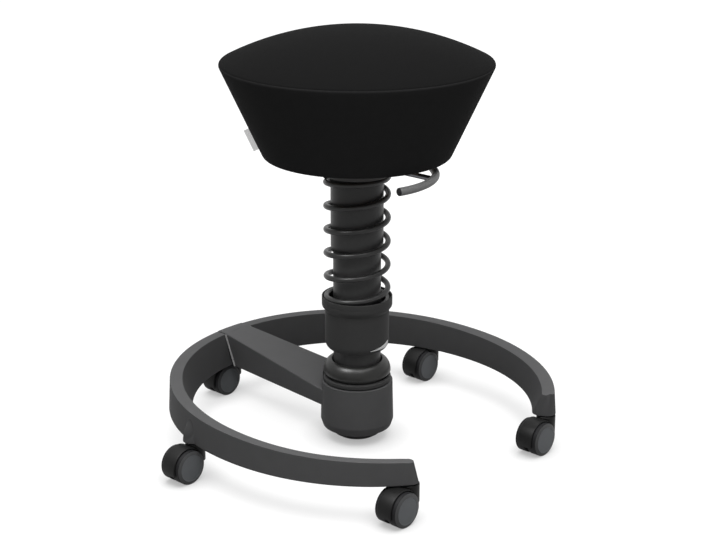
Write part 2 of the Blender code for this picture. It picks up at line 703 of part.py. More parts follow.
def build_base_fittings():
    top = FOOT_CLEAR + FOOT_HEIGHT
    outline = [(0, hub_floor), (FOOT_STUB_RADIUS, hub_floor), (FOOT_STUB_RADIUS, top), (FOOT_RADIUS, top),
               (FOOT_RADIUS, FOOT_CLEAR + FOOT_EDGE_HEIGHT), (FOOT_RADIUS - FOOT_EDGE, FOOT_CLEAR),
               (0, FOOT_CLEAR)]
    turned("hub_foot_cap", outline, ROUND, "black_plastic")
    for side, x, y in ring_screw_places():
        head = ring_bottom + FIT
        neck = head + RING_SCREW_HEAD
        tip = ring_top - TONGUE_INSET - FIT
        outline = [(0, tip), (RING_SCREW_RADIUS, tip), (RING_SCREW_RADIUS, neck),
                   (RING_SCREW_HEAD_RADIUS, neck), (RING_SCREW_HEAD_RADIUS, head), (0, head)]
        turned("ring_screw_" + side, outline, SMALL, "dark_steel", place=(x, y, 0))
    clamp_top = clamp_bottom + CLAMP_HEIGHT
    edge = CLAMP_HEIGHT / 6
    outline = [(clamp_radius, clamp_top - edge), (clamp_radius, clamp_bottom + edge),
               (clamp_radius - edge, clamp_bottom), (socket_outer + FIT, clamp_bottom),
               (socket_outer + FIT, clamp_top), (clamp_radius - edge, clamp_top)]
    turned("clamp_ring", outline, FINE, "black_plastic")
    build_boot()


def build_boot():
    """Domed boot: a grooved foot, a quarter-round shoulder and an open lip round the neck."""
    wide = hub_radius - BOOT_STEP
    narrow = wide - BOOT_GROOVE_DEPTH
    lip = SLEEVE_RADIUS + LIP_CLEAR
    shoulder = boot_bottom + BOOT_GROOVE
    rise = boot_top - shoulder
    under = boot_top - BOOT_WALL
    outline = [(narrow, boot_bottom), (narrow, shoulder)]
    outline += [(lip + (wide - lip) * x, shoulder + rise * y) for x, y in arc((0, 0), 1, 0, 90)]
    outline += [(lip, under), (BOOT_BORE, under - BOOT_BORE + lip), (BOOT_BORE, boot_bottom)]
    turned("boot", outline, FINE, "black_rubber")


def build_tilt_joint(tilt):
    """Ball on the column, rubber bush round it, socket in the hub, stop ring round the tail."""
    pivot = (0, pivot_z)
    outline = arc(pivot, socket_inner, BUSH_TOP_ANGLE, -SOCKET_LOW_ANGLE)
    seat = hub_ledge + FIT
    outline += [(outline[-1][0], seat), (socket_outer, seat), (socket_outer, outline[0][1])]
    turned("tilt_socket", outline, ROUND, "dark_steel")

    outline = arc(pivot, bush_outer, BUSH_TOP_ANGLE, -BUSH_LOW_ANGLE)
    outline += arc(pivot, bush_inner, -BUSH_LOW_ANGLE, BUSH_TOP_ANGLE)
    turned("elastomer_bush", outline, ROUND, "black_rubber", tilt)

    stem_angle = math.degrees(math.acos(BALL_STEM_RADIUS / BALL_RADIUS))
    tail_angle = math.degrees(math.acos(TAIL_RADIUS / BALL_RADIUS))
    flange = sleeve_bore - FIT
    outline = [(0, flange_top), (flange, flange_top), (flange, flange_bottom),
               (BALL_STEM_RADIUS, flange_bottom)]
    outline += arc(pivot, BALL_RADIUS, stem_angle, -tail_angle)
    outline += [(TAIL_RADIUS, tail_end + TAIL_EDGE), (TAIL_RADIUS - TAIL_EDGE, tail_end), (0, tail_end)]
    turned("pivot_ball", outline, PLAIN, "bright_steel", tilt)

    swing = math.acos(math.cos(math.radians(TILT_LIMIT)) ** 2)
    reach = (pivot_z - tail_end) * math.sin(swing) + TAIL_RADIUS
    low = hub_floor + FIT
    outline = tube(reach + RUNNING, hub_low_bore - FIT, low, low + STOP_RING_HEIGHT)
    turned("tilt_stop_ring", outline, PLAIN, "black_rubber")


def build_column_lower(tilt):
    outline = tube(sleeve_bore, SLEEVE_RADIUS, sleeve_bottom, sleeve_top)
    turned("lower_sleeve", outline, ROUND, "black_plastic", tilt)
    seat = collar_ledge + FIT
    outline = tube(SLEEVE_RADIUS + FIT, spring_seat_radius, seat, seat + SPRING_SEAT)
    turned("spring_seat_ring", outline, ROUND, "dark_steel", tilt)
    outer = SLEEVE_RADIUS + FIT + SLEEVE_BUSH_WALL
    outline = tube(SLEEVE_RADIUS + FIT, outer, sleeve_top - SLEEVE_BUSH_HEIGHT, sleeve_top)
    turned("sleeve_bush", outline, ROUND, "nylon", tilt)


def build_collar(tilt):
    """Adjusting collar: a threaded foot, a round-bottomed body and a flared rim round the spring."""
    bore = SLEEVE_RADIUS + RUNNING
    rim_edge = COLLAR_RIM_WALL / 2
    rim_low = rim_floor - COLLAR_RIM_FLOOR
    pocket = spring_seat_radius + RUNNING
    thread_top = collar_bottom + COLLAR_THREAD_HEIGHT
    across = collar_radius - bore - COLLAR_TOE
    outline = [(collar_radius - across * (1 - x), collar_bottom + COLLAR_ROUND * (1 + y))
               for x, y in arc((0, 0), 1, -90, 0)]
    outline += [(collar_radius, rim_low - COLLAR_FLARE), (collar_rim_radius, rim_low),
                (collar_rim_radius, collar_top - rim_edge), (collar_rim_radius - rim_edge, collar_top),
                (collar_rim_bore, collar_top), (collar_rim_bore, rim_floor), (pocket, rim_floor),
                (pocket, collar_ledge), (collar_bore, collar_ledge), (collar_bore, thread_top),
                (bore, thread_top), (bore, collar_bottom)]
    turned("adjusting_collar", outline, FINE, "black_plastic", tilt)


def spring_points():
    """Centre line of the coil spring: a closed turn at each end and open turns between them."""
    closed = SPRING_WIRE + SPRING_COIL_GAP
    low = spring_bottom + SPRING_WIRE / 2
    high = spring_top - SPRING_WIRE / 2
    open_turns = (high - low - 2 * closed) / SPRING_PITCH
    count = round((open_turns + 2) * CURL_POINTS)
    points = []
    for step in range(count + 1):
        turn = (open_turns + 2) * step / count
        rise = closed * min(turn, 1) + SPRING_PITCH * min(max(turn - 1, 0), open_turns)
        rise += closed * max(turn - 1 - open_turns, 0)
        angle = math.radians(SPRING_START) + 2 * math.pi * (turn - 1)
        points.append(Vector((spring_middle * math.cos(angle), spring_middle * math.sin(angle), low + rise)))
    return points


def polyline_tube(name, points, radius, resolution, finish, parent):
    """A tube of one unbroken run through a list of points, with closed ends."""
    curve = bpy.data.curves.new(name, "CURVE")
    curve.dimensions = "3D"
    curve.bevel_depth = radius
    curve.bevel_resolution = resolution
    curve.use_fill_caps = True
    spline = curve.splines.new("POLY")
    spline.points.add(len(points) - 1)
    for spot, point in zip(spline.points, points):
        spot.co = (*point, 1)
    return add_object(name, curve, finish, parent)


def build_spring(tilt):
    points = spring_points()
    polyline_tube("coil_spring", points, SPRING_WIRE / 2, 1, "spring_steel", tilt)
    apart = CURL_POINTS // 2
    pairs = [(a, b) for i, a in enumerate(points) for b in points[i + apart:]]
    least = min((a - b).length for a, b in pairs) - SPRING_WIRE
    print("coil_spring least gap to itself: %.2f mm" % (least * 1000))


def build_column_upper(tilt):
    low = plate_bottom - UPPER_SLEEVE_LENGTH
    outline = tube(upper_sleeve_bore, upper_sleeve_radius, low, plate_bottom - FIT)
    turned("upper_sleeve", outline, ROUND, "black_plastic", tilt)
    inner = GAS_TUBE_RADIUS + FIT
    dish = upper_sleeve_radius - PLATE_WALL
    flange_edge = plate_flange + PLATE_FLANGE
    outline = [(UPPER_PLATE_RADIUS, flange_edge), (UPPER_PLATE_RADIUS, plate_flange),
               (upper_sleeve_radius, plate_flange), (upper_sleeve_radius, plate_bottom),
               (inner, plate_bottom), (inner, plate_top), (dish, plate_top), (dish, flange_edge)]
    turned("upper_spring_plate", outline, FINE, "black_plastic", tilt)
    hole = ROD_RADIUS + RUNNING
    outline = [(GAS_TUBE_RADIUS, plate_top), (GAS_TUBE_RADIUS, gas_bottom), (hole, gas_bottom),
               (hole, gas_floor), (gas_bore, gas_floor), (gas_bore, plate_top)]
    turned("gas_outer_tube", outline, PLAIN, "dark_steel", tilt)
    flange = plate_top + FIT
    bore = PRESSURE_RADIUS + RUNNING
    fit = gas_bore - FIT
    outline = [(GAS_TUBE_RADIUS, tube_bush_top), (GAS_TUBE_RADIUS, flange), (fit, flange),
               (fit, tube_bush_bottom), (bore, tube_bush_bottom), (bore, tube_bush_top)]
    turned("tube_bush", outline, PLAIN, "nylon", tilt)


def build_piston(tilt):
    """Piston rod hung in the gas tube's floor: it turns on its thrust bearing."""
    shoulder = thrust_top + FIT
    tail = gas_bottom - ROD_TAIL
    piston = pressure_bore - RUNNING
    piston_top = piston_bottom + PISTON_HEIGHT
    outline = [(0, piston_top), (piston, piston_top), (piston, piston_bottom), (ROD_RADIUS, piston_bottom),
               (ROD_RADIUS, shoulder + ROD_SHOULDER), (ROD_SHOULDER_RADIUS, shoulder + ROD_SHOULDER),
               (ROD_SHOULDER_RADIUS, shoulder), (ROD_RADIUS, shoulder), (ROD_RADIUS, tail), (0, tail)]
    turned("piston_rod", outline, SMALL, "bright_steel", tilt)
    inner = ROD_RADIUS + FIT
    low = gas_floor + FIT
    outline = tube(inner, THRUST_RADIUS, low, low + THRUST_HEIGHT)
    turned("thrust_bearing", outline, PLAIN, "bright_steel", tilt)
    high = gas_bottom - FIT
    turned("rod_clip", tube(inner, CLIP_RADIUS, high - CLIP_HEIGHT, high), SMALL, "dark_steel", tilt)


def build_pressure_tube(tilt):
    rod_hole = ROD_RADIUS + RUNNING
    pin_hole = VALVE_PIN_RADIUS + RUNNING
    bottom = pressure_bottom
    outline = [(PRESSURE_RADIUS, pressure_top), (PRESSURE_RADIUS, bottom), (rod_hole, bottom),
               (rod_hole, bottom + PRESSURE_END), (pressure_bore, bottom + PRESSURE_END),
               (pressure_bore, pressure_top - PRESSURE_END), (pin_hole, pressure_top - PRESSURE_END),
               (pin_hole, pressure_top)]
    turned("pressure_tube", outline, PLAIN, "bright_steel", tilt)
    low = pressure_top - VALVE_PIN_DEPTH
    turned("valve_pin", rod(VALVE_PIN_RADIUS, low, valve_pin_top), SMALL, "bright_steel", tilt)


def build_bracket(tilt):
    """Seat bracket: a socket for the lift, a round plate and two lugs for the lever pin."""
    bore = PRESSURE_RADIUS + FIT
    outline = [(0, bracket_top), (BRACKET_PLATE_RADIUS, bracket_top), (BRACKET_PLATE_RADIUS, bracket_plate),
               (BRACKET_HUB_RADIUS, bracket_plate), (BRACKET_HUB_RADIUS, bracket_bottom), (0, bracket_bottom)]
    bracket = turned("seat_bracket", outline, ROUND, "dark_steel", tilt)
    inside = LEVER_EYE_WIDTH / 2 + FIT
    lugs = []
    for side in (-1, 1):
        x_low, x_high = sorted((side * inside, side * (inside + LEVER_LUG)))
        low = (x_low, -LEVER_ARM - LEVER_EYE_RADIUS, lever_z - LEVER_EYE_RADIUS)
        high = (x_high, -LEVER_ARM + LEVER_EYE_RADIUS, bracket_plate + BRACKET_PLATE / 2)
        lugs.append(block(low, high))
    boolean(bracket, "UNION", merged(lugs), "bracket_lugs", tilt)
    socket = spun(rod(bore, bracket_bottom - CUT_OVER, pressure_top + FIT), PLAIN)
    boolean(bracket, "DIFFERENCE", socket, "bracket_socket", tilt)
    clear = LEVER_ROD_RADIUS + 2 * FIT
    sink = LEVER_TIP + LEVER_ROD_RADIUS
    slot_low = (-inside, -LEVER_ARM, pressure_top - FIT)
    slot = block(slot_low, (inside, sink, lever_z + clear))
    boolean(bracket, "DIFFERENCE", slot, "bracket_slot", tilt)
    reach = inside + LEVER_LUG + CUT_OVER
    across = Matrix.Translation((0, -LEVER_ARM, lever_z)) @ Matrix.Rotation(math.pi / 2, 4, "Y")
    pin = spun(rod(LEVER_PIN_RADIUS + FIT, -reach, reach), SMALL, across)
    boolean(bracket, "DIFFERENCE", pin, "bracket_pin_hole", tilt)
    hole = rod(BRACKET_SCREW_RADIUS + FIT, bracket_plate - CUT_OVER, bracket_top + CUT_OVER)
    spots = (-BRACKET_SCREW_SPREAD, BRACKET_SCREW_SPREAD)
    holes = [spun(hole, SMALL, Matrix.Translation((x, 0, 0))) for x in spots]
    boolean(bracket, "DIFFERENCE", merged(holes), "bracket_screw_holes", tilt)
    for side, x in (("left", -BRACKET_SCREW_SPREAD), ("right", BRACKET_SCREW_SPREAD)):
        head = bracket_plate - FIT
        tip = base_plate_bottom + BRACKET_SCREW_BITE
        low = head - BRACKET_SCREW_HEAD
        outline = [(0, tip), (BRACKET_SCREW_RADIUS, tip), (BRACKET_SCREW_RADIUS, head),
                   (BRACKET_SCREW_HEAD_RADIUS, head), (BRACKET_SCREW_HEAD_RADIUS, low), (0, low)]
        turned("bracket_screw_" + side, outline, SMALL, "bright_steel", tilt, place=(x, 0, 0))


def build_lever(tilt):
    pivot = empty("lever_pivot", (0, -LEVER_ARM, lever_z), tilt)
    half = LEVER_EYE_WIDTH / 2 + FIT + LEVER_LUG
    turned("lever_pin", rod(LEVER_PIN_RADIUS, -half, half), SMALL, "bright_steel", pivot,
           (0, -LEVER_ARM, lever_z), (0, math.pi / 2, 0))
    tip = Vector((0, LEVER_TIP, lever_z))
    eye = Vector((0, -LEVER_ARM, lever_z))
    end = Vector((0, -LEVER_REACH, grip_z))
    slant = math.tan(math.asin(-GRIP_CENTRE_X / GRIP_BEND))
    sections = [circle_across_y(spot, LEVER_ROD_RADIUS, SMALL) for spot in (tip, eye)]
    sections.append(circle_across_y(end, LEVER_ROD_RADIUS, SMALL, slant))
    lever = add_object("lever_rod", mesh_from(loft(sections), "lever_rod"), "dark_steel", pivot)
    across = Matrix.Translation(eye) @ Matrix.Rotation(math.pi / 2, 4, "Y")
    half = LEVER_EYE_WIDTH / 2
    boolean(lever, "UNION", spun(rod(LEVER_EYE_RADIUS, -half, half), SMALL, across), "lever_eye", tilt)
    bore = spun(rod(LEVER_PIN_RADIUS + FIT, -half - CUT_OVER, half + CUT_OVER), SMALL, across)
    boolean(lever, "DIFFERENCE", bore, "lever_bore", tilt)
    points = []
    for step in range(GRIP_POINTS):
        angle = math.radians(GRIP_START + (GRIP_END - GRIP_START) * step / (GRIP_POINTS - 1))
        x = GRIP_CENTRE_X + GRIP_BEND * math.cos(angle)
        points.append(Vector((x, grip_centre_y + GRIP_BEND * math.sin(angle), grip_z)))
    polyline_tube("lever_grip", points, GRIP_RADIUS, 2, "lever_grey", pivot)


def seat_outline(inset, crown_steps, round_steps):
    """Outline of the seat from its crown to its foot, drawn in by an inset all round."""
    foot = Vector((SEAT_BOTTOM_RADIUS, seat_bottom))
    rim = Vector((SEAT_RIM_RADIUS, seat_bottom + SEAT_SIDE_HEIGHT))
    along = (rim - foot).normalized()
    inward = Vector((-along.y, along.x))
    crown_radius = (SEAT_RIM_RADIUS ** 2 + SEAT_CROWN ** 2) / (2 * SEAT_CROWN)
    crown_centre = rim.y + SEAT_CROWN - crown_radius
    start = foot + inward * inset
    low = start + along * (inset - (start.y - seat_bottom)) / along.y
    ball = crown_radius - inset
    offset = start - Vector((0, crown_centre))
    reach = -offset.dot(along) + math.sqrt(offset.dot(along) ** 2 - offset.length_squared + ball ** 2)
    high = start + along * reach
    rim_angle = math.atan2(high.y - crown_centre, high.x)
    rim_round = SEAT_RIM_ROUND - min(inset, SEAT_RIM_ROUND * ROUND_LEFT)
    foot_round = SEAT_FOOT_ROUND - min(inset, SEAT_FOOT_ROUND * ROUND_LEFT)
    ease = rim_round * RIM_EASE / ball
    crown = []
    for step in range(crown_steps + 1):
        angle = math.pi / 2 - (math.pi / 2 - rim_angle - ease) * step / crown_steps
        crown.append((ball * math.cos(angle), crown_centre + ball * math.sin(angle)))
    crown[0] = (0, crown_centre + ball)
    side_top = high - along * rim_round
    side_low = low + along * foot_round
    rim_curve = quadratic(Vector(crown[-1]), high, side_top, round_steps)
    foot_curve = quadratic(side_low, low, low - Vector((foot_round, 0)), round_steps)
    return crown + rim_curve[1:] + foot_curve


def quadratic(start, corner, end, steps):
    """Points of a curve that rounds a corner."""
    points = []
    for step in range(steps + 1):
        t = step / steps
        point = start * (1 - t) ** 2 + corner * 2 * t * (1 - t) + end * t ** 2
        points.append((point.x, point.y))
    return points


def build_seat(tilt):
    turned("seat_base_plate", rod(SEAT_BOTTOM_RADIUS - BASE_PLATE_INSET, base_plate_bottom, base_plate_top),
           FINE, "plywood", tilt)
    plate = bpy.data.objects["seat_base_plate"]
    depth = base_plate_bottom + BRACKET_SCREW_BITE + FIT
    hole = rod(BRACKET_SCREW_RADIUS + FIT, base_plate_bottom - CUT_OVER, depth)
    spots = (-BRACKET_SCREW_SPREAD, BRACKET_SCREW_SPREAD)
    holes = [spun(hole, SMALL, Matrix.Translation((x, 0, 0))) for x in spots]
    boolean(plate, "DIFFERENCE", merged(holes), "base_plate_holes", tilt)

    foam_inset = COVER_THICKNESS + FIT
    shape = seat_outline(foam_inset, INNER_CROWN_STEPS, INNER_CORNER_STEPS)
    outline = [point for point in shape if point[1] > base_plate_top + SEAT_FOOT_ROUND]
    slope = (SEAT_RIM_RADIUS - SEAT_BOTTOM_RADIUS) / SEAT_SIDE_HEIGHT
    low = base_plate_top + FIT
    edge = outline[-1][0] - slope * (outline[-1][1] - low)
    turned("seat_foam", outline + [(edge, low), (0, low)], FINE, "foam", tilt)

    inner_edge = SEAT_BOTTOM_RADIUS - COVER_TURN_IN
    outside = seat_outline(0, CROWN_STEPS, CORNER_STEPS) + [(inner_edge, seat_bottom)]
    inside = seat_outline(COVER_THICKNESS, INNER_CROWN_STEPS, INNER_CORNER_STEPS)
    inside.append((inner_edge, seat_bottom + COVER_THICKNESS))
    turned("seat_cover", outside + inside[::-1], FINE, "black_fabric", tilt)
    build_tag(tilt)


def build_tag(tilt):
    """Small bare tag sewn into the side of the cover, standing out along the slope."""
    slope = math.atan2(SEAT_SIDE_HEIGHT, SEAT_RIM_RADIUS - SEAT_BOTTOM_RADIUS)
    along = Vector((math.cos(slope), 0, math.sin(slope)))
    out = Vector((math.sin(slope), 0, -math.cos(slope)))
    foot = Vector((SEAT_BOTTOM_RADIUS, 0, seat_bottom)) + along * (SEAT_FOOT_ROUND + TAG_RISE) + out * FIT
    half = Vector((0, TAG_THICKNESS / 2, 0))
    end = foot + along * TAG_LENGTH
    corners = [foot, end, end + out * TAG_WIDTH, foot + out * TAG_WIDTH]
    shape = loft([[corner - half for corner in corners], [corner + half for corner in corners]])
    turn = Matrix.Rotation(math.radians(TAG_ANGLE), 3, "Z")
    bmesh.ops.rotate(shape, verts=shape.verts, cent=(0, 0, 0), matrix=turn)
    add_object("seat_tag", mesh_from(shape, "seat_tag"), "tag_grey", tilt)


def hood_mesh():
    """Caster hood about its swivel axis: a drum over both wheels with a web between, and a round neck."""
    half = HOOD_WIDTH / 2
    axle = (-CASTER_TRAIL, 0, WHEEL_RADIUS)
    edge = HOOD_EDGE
    drum = [(0, half), (hood_radius - edge, half), (hood_radius, half - edge), (hood_radius, edge - half),
            (hood_radius - edge, -half), (0, -half)]
    hood = helper(spun(drum, PLAIN, along_y(axle)), "hood_drum")
    low = hood_top - NECK_DEPTH
    neck = [(0, hood_top), (NECK_RADIUS - edge, hood_top), (NECK_RADIUS, hood_top - edge),
            (NECK_RADIUS, low + NECK_TOE), (NECK_RADIUS - NECK_TOE, low), (0, low)]
    boolean(hood, "UNION", spun(neck, HOOD_SIDES), "hood_neck")
    under = block((-CASTER_TRAIL - 2 * WHEEL_RADIUS, -HOOD_WIDTH, -CUT_OVER),
                  (2 * WHEEL_RADIUS, HOOD_WIDTH, HOOD_LIFT))
    boolean(hood, "DIFFERENCE", under, "hood_underside")
    well = rod(well_radius, HOOD_WEB / 2, half + CUT_OVER)
    wells = [spun(well, PLAIN, along_y(axle, side)) for side in (-1, 1)]
    boolean(hood, "DIFFERENCE", merged(wells), "hood_wells")
    axle_bore = spun(rod(AXLE_RADIUS + FIT, -HOOD_WEB, HOOD_WEB), SMALL, along_y(axle))
    stem_bore = spun(rod(STEM_RADIUS + RUNNING, hood_top - STEM_IN_HOOD - FIT, hood_top + CUT_OVER), SMALL)
    boolean(hood, "DIFFERENCE", merged([axle_bore, stem_bore]), "hood_bores")
    return evaluated_mesh(hood, "caster_hood")


def wheel_outline():
    """One wheel, from the hood's web to its face: a plain tread and a bevelled disc."""
    inner = HOOD_WEB / 2 + WHEEL_GAP
    outer = inner + WHEEL_WIDTH
    bore = AXLE_RADIUS + RUNNING
    rim = outer - WHEEL_BEVEL
    return [(0, outer), (WHEEL_DISC_RADIUS, outer), (wheel_corner, rim), (wheel_corner, inner),
            (bore, inner), (bore, outer - AXLE_COVER), (0, outer - AXLE_COVER)]


def build_casters():
    hood = hood_mesh()
    wheel = mesh_from(spun(wheel_outline(), WHEEL_SIDES, half_turn=True), "caster_wheel")
    half = HOOD_WEB / 2 + WHEEL_GAP + WHEEL_WIDTH - AXLE_COVER - FIT
    axle = mesh_from(spun(rod(AXLE_RADIUS, -half, half), SMALL), "caster_axle")
    flange = hood_top + FIT
    outline = [(0, ring_bottom + STEM_IN_RING), (STEM_RADIUS, ring_bottom + STEM_IN_RING),
               (STEM_RADIUS, flange + STEM_FLANGE), (STEM_FLANGE_RADIUS, flange + STEM_FLANGE),
               (STEM_FLANGE_RADIUS, flange), (STEM_RADIUS, flange),
               (STEM_RADIUS, hood_top - STEM_IN_HOOD), (0, hood_top - STEM_IN_HOOD)]
    stem = mesh_from(spun(outline, SMALL), "caster_stem")
    for name, place, middle in caster_places():
        swivel = empty("caster_swivel_" + name, place)
        centre = place + Vector((-CASTER_TRAIL, 0, WHEEL_RADIUS))
        add_object("caster_stem_" + name, stem, "bright_steel", place=place)
        add_object("caster_hood_" + name, hood, "black_plastic", swivel, place)
        add_object("caster_axle_" + name, axle, "bright_steel", swivel, centre, (-math.pi / 2, 0, 0))
        for side, towards in (("a", -1), ("b", 1)):
            turn = (-towards * math.pi / 2, 0, 0)
            add_object("caster_wheel_%s_%s" % (name, side), wheel, "wheel_grey", swivel, centre, turn)


def main():
    clear_scene()
    tilt = empty("tilt_pivot", (0, 0, pivot_z))
    build_ring()
    build_hub_arm()
    build_base_fittings()
    build_casters()
    build_tilt_joint(tilt)
    build_column_lower(tilt)
    build_collar(tilt)
    build_spring(tilt)
    build_column_upper(tilt)
    build_piston(tilt)
    build_pressure_tube(tilt)
    build_bracket(tilt)
    build_lever(tilt)
    build_seat(tilt)


main()
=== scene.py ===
"""Spring balance stool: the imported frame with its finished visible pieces."""
import json
import math

import bmesh
import bpy
from mathutils import Matrix, Vector


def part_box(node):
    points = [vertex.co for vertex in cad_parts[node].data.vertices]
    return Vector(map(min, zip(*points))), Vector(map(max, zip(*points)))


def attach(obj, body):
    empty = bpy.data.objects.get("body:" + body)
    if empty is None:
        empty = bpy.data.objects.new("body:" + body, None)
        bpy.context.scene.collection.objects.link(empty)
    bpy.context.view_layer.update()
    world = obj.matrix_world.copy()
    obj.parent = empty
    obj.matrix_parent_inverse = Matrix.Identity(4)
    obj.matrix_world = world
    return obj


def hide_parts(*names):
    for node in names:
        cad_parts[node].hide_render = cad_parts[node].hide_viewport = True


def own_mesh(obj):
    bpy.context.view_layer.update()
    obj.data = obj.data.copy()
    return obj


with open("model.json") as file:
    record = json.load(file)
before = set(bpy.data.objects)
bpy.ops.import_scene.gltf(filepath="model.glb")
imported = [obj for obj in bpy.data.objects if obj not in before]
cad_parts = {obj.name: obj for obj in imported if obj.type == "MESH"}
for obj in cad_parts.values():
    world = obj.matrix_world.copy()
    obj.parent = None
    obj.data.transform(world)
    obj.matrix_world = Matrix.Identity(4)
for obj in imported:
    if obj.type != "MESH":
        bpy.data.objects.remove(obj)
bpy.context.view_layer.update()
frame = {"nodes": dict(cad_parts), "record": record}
scene = bpy.context.scene
scene.view_settings.view_transform = "Standard"

# ring, in metres and degrees
RING_HALF_X = 0.2865
RING_HALF_Y = 0.2980
RING_BEHIND = -0.0095
RING_POWER = 2.07
RING_LOW = 0.0559
RING_TOP = 0.1055
RING_END_HEIGHT = 0.0316
RING_FADE = 0.7
RING_END = 145.0
RING_END_LIFT = 0.0015
LIFT_START = 110
RING_DIP = 0.0024
DIP_START = 40
DIP_STOP = 110
RING_OUTER_LEAN = 0.0025
RING_TOP_INNER = 0.0215
RING_FOOT_INNER = 0.0360
RING_EDGE = 0.0010
RING_INNER_EDGE = 0.0008
RING_PER_DEGREE = 0.29225
END_START = 0.0080
END_REACH = 0.0135
END_SLANT = 0.0090
END_ROUND = 0.36
END_STEPS = 12
BOSS_RADIUS = 0.0130
BOSS_INSET = 0.0035
BOSS_HEIGHT = 0.0310
BOSS_TAPER = 2.2
BOSS_BLEND = 0.0012
STEM_INSET = 0.0085
NOTCH_HALF = 0.0271
NOTCH_DEPTH = 0.0053
REAR_HALF = 0.0450
SIDE_START = 11.0
# arm and hub
HUB_TOP = 0.0930
HUB_TOP_RADIUS = 0.0545
HUB_FOOT_RADIUS = 0.0560
HUB_FOOT_HEIGHT = 0.0308
HUB_UNDER = 0.0128
HUB_FLOOR = 0.0218
HUB_LEDGE = 0.0857
HUB_MOUTH = 0.0451
HUB_BORE = 0.0401
HUB_DRAIN = 0.0123
ARM_LOW = 0.0549
ARM_HUB_TOP = 0.0800
ARM_HUB_HALF = 0.0480
ARM_RING_HALF = 0.0265
ARM_LOW_EDGE = 0.0018
ARM_TOP_EDGE = 0.0024
ARM_SEAM = 0.0010
ROOT_DEEP = 0.0047
TONGUE_HALF = 0.0265
TONGUE_DEEP = 0.0050
PLATE_TOP = 0.1068
SADDLE_INNER = 0.0523
SADDLE_OUTER = 0.0542
SADDLE_SUNK = 0.002
SADDLE_RISE = 0.016
BEAD_RADIUS = 0.0015
# casters: stem positions, and the axle a trail away from the stem towards -X
CASTERS = {"rear": (0.0, 0.2800), "left": (-0.2668, 0.07679), "right": (0.2668, 0.07679),
           "front_left": (-0.15897, -0.2433), "front_right": (0.15897, -0.2433)}
TRAIL = 0.0255
AXLE_HEIGHT = 0.0255
AXLE_RADIUS = 0.0034
HOOD_HALF = 0.0125
HOOD_RADIUS = 0.0284
HOOD_UNDER = 0.0170
HOOD_CLEAR = 0.0080
HOOD_STEP = 0.012
WEB_HALF = 0.0025
WELL_RADIUS = 0.0270
NECK_RADIUS = 0.0145
STEM_BORE = 0.0062
BEYOND = 0.06
WHEEL_RADIUS = 0.0255
WHEEL_INNER = 0.0033
WHEEL_HOLE_END = 0.0120
WHEEL_FACE = 0.0200
TREAD_FROM = 0.0251
RIM_FROM = 0.0202
CASTER_SIDES = 96
# column
COLLAR_LOW = 0.1460
COLLAR_RADIUS = 0.0487
COLLAR_CURVE_UP = 0.0130
COLLAR_CURVE_IN = 0.0113
COLLAR_BORE = 0.0365
COLLAR_RIM = 0.0535
COLLAR_TOP = 0.2300
COLLAR_MOUTH = 0.0512
COLLAR_LEDGE = 0.2158
COLLAR_STEP = 0.2120
MARK_START = 247
MARK_SPAN = 47
BOOT_DOME = 0.0391
BOOT_DOME_HEIGHT = 0.1088
SPRING_LOW = 0.2161
SPRING_HIGH = 0.4195
SPRING_TOP_TURN = 0.77
SPRING_WIRE = 0.0084
SPRING_MIDDLE = 0.0464
SPRING_PITCH = 0.0365
SPRING_CLOSED_RISE = 0.0090
SPRING_STEPS = 420
SPRING_BLEND = 14
# lever
LEVER_HEIGHT = 0.44
ROD_RADIUS = 0.0030
ROD_SWELL = 0.0010
GRIP_RADIUS = 0.0060
GRIP_ARC = 0.1150
GRIP_CENTRE = Vector((-0.0370, -0.03175, 0.4325))
GRIP_START = -106.0
GRIP_SPAN = 71.0
# seat
SEAT_LOW = 0.4480
SEAT_FOOT = 0.1383
SEAT_RIM = 0.2014
SEAT_SIDE = 0.1382
SEAT_CROWN = 0.0489
SEAT_RIM_ROUND = 0.0045
SEAT_FOOT_ROUND = 0.0075
SEAT_TUCK = 0.1250
SEAT_OPENING = 0.1053
SEAT_PLATE_RADIUS = 0.1264
SEAT_PLATE_LOW = 0.4500
SEAT_PLATE_TOP = 0.4627
FILL_FRAMES = 20
TAG_LENGTH = 0.0345
TAG_WIDTH = 0.0104
TAG_UP_SIDE = 0.0100
TAG_SUNK = 0.0002
TAG_SWAY = 0.0012
TAG_TURN = 132.4
# finish
SHARP = 38
SIDES = 128
GRIT_DEPTH = 0.0002
THREAD_PITCH = 0.0011
THREAD_RADIUS = 0.18
LIGHT_AIM = (0, 0, 0.2)


def turned(v, angle):
    c = math.cos(angle)
    s = math.sin(angle)
    return Vector((v.x * c - v.y * s, v.x * s + v.y * c))


def eased(corners, closed=True, steps=5):
    """A line through (across, up, rounding) corners with each corner rounded."""
    points = []
    count = len(corners)
    for i, (x, y, radius) in enumerate(corners):
        here = Vector((x, y))
        if radius == 0 or (not closed and i in (0, count - 1)):
            points.append(here)
            continue
        a = Vector(corners[i - 1][:2]) - here
        b = Vector(corners[(i + 1) % count][:2]) - here
        room = 0.48 * min(a.length, b.length)
        a.normalize()
        b.normalize()
        half = math.acos(max(-1.0, min(1.0, a.dot(b)))) / 2
        cut = min(radius / math.tan(half), room)
        centre = here + (a + b).normalized() * (cut / math.cos(half))
        first = here + a * cut - centre
        last = here + b * cut - centre
        turn = math.atan2(first.x * last.y - first.y * last.x, first.dot(last))
        for step in range(steps + 1):
            points.append(centre + turned(first, turn * step / steps))
    return points


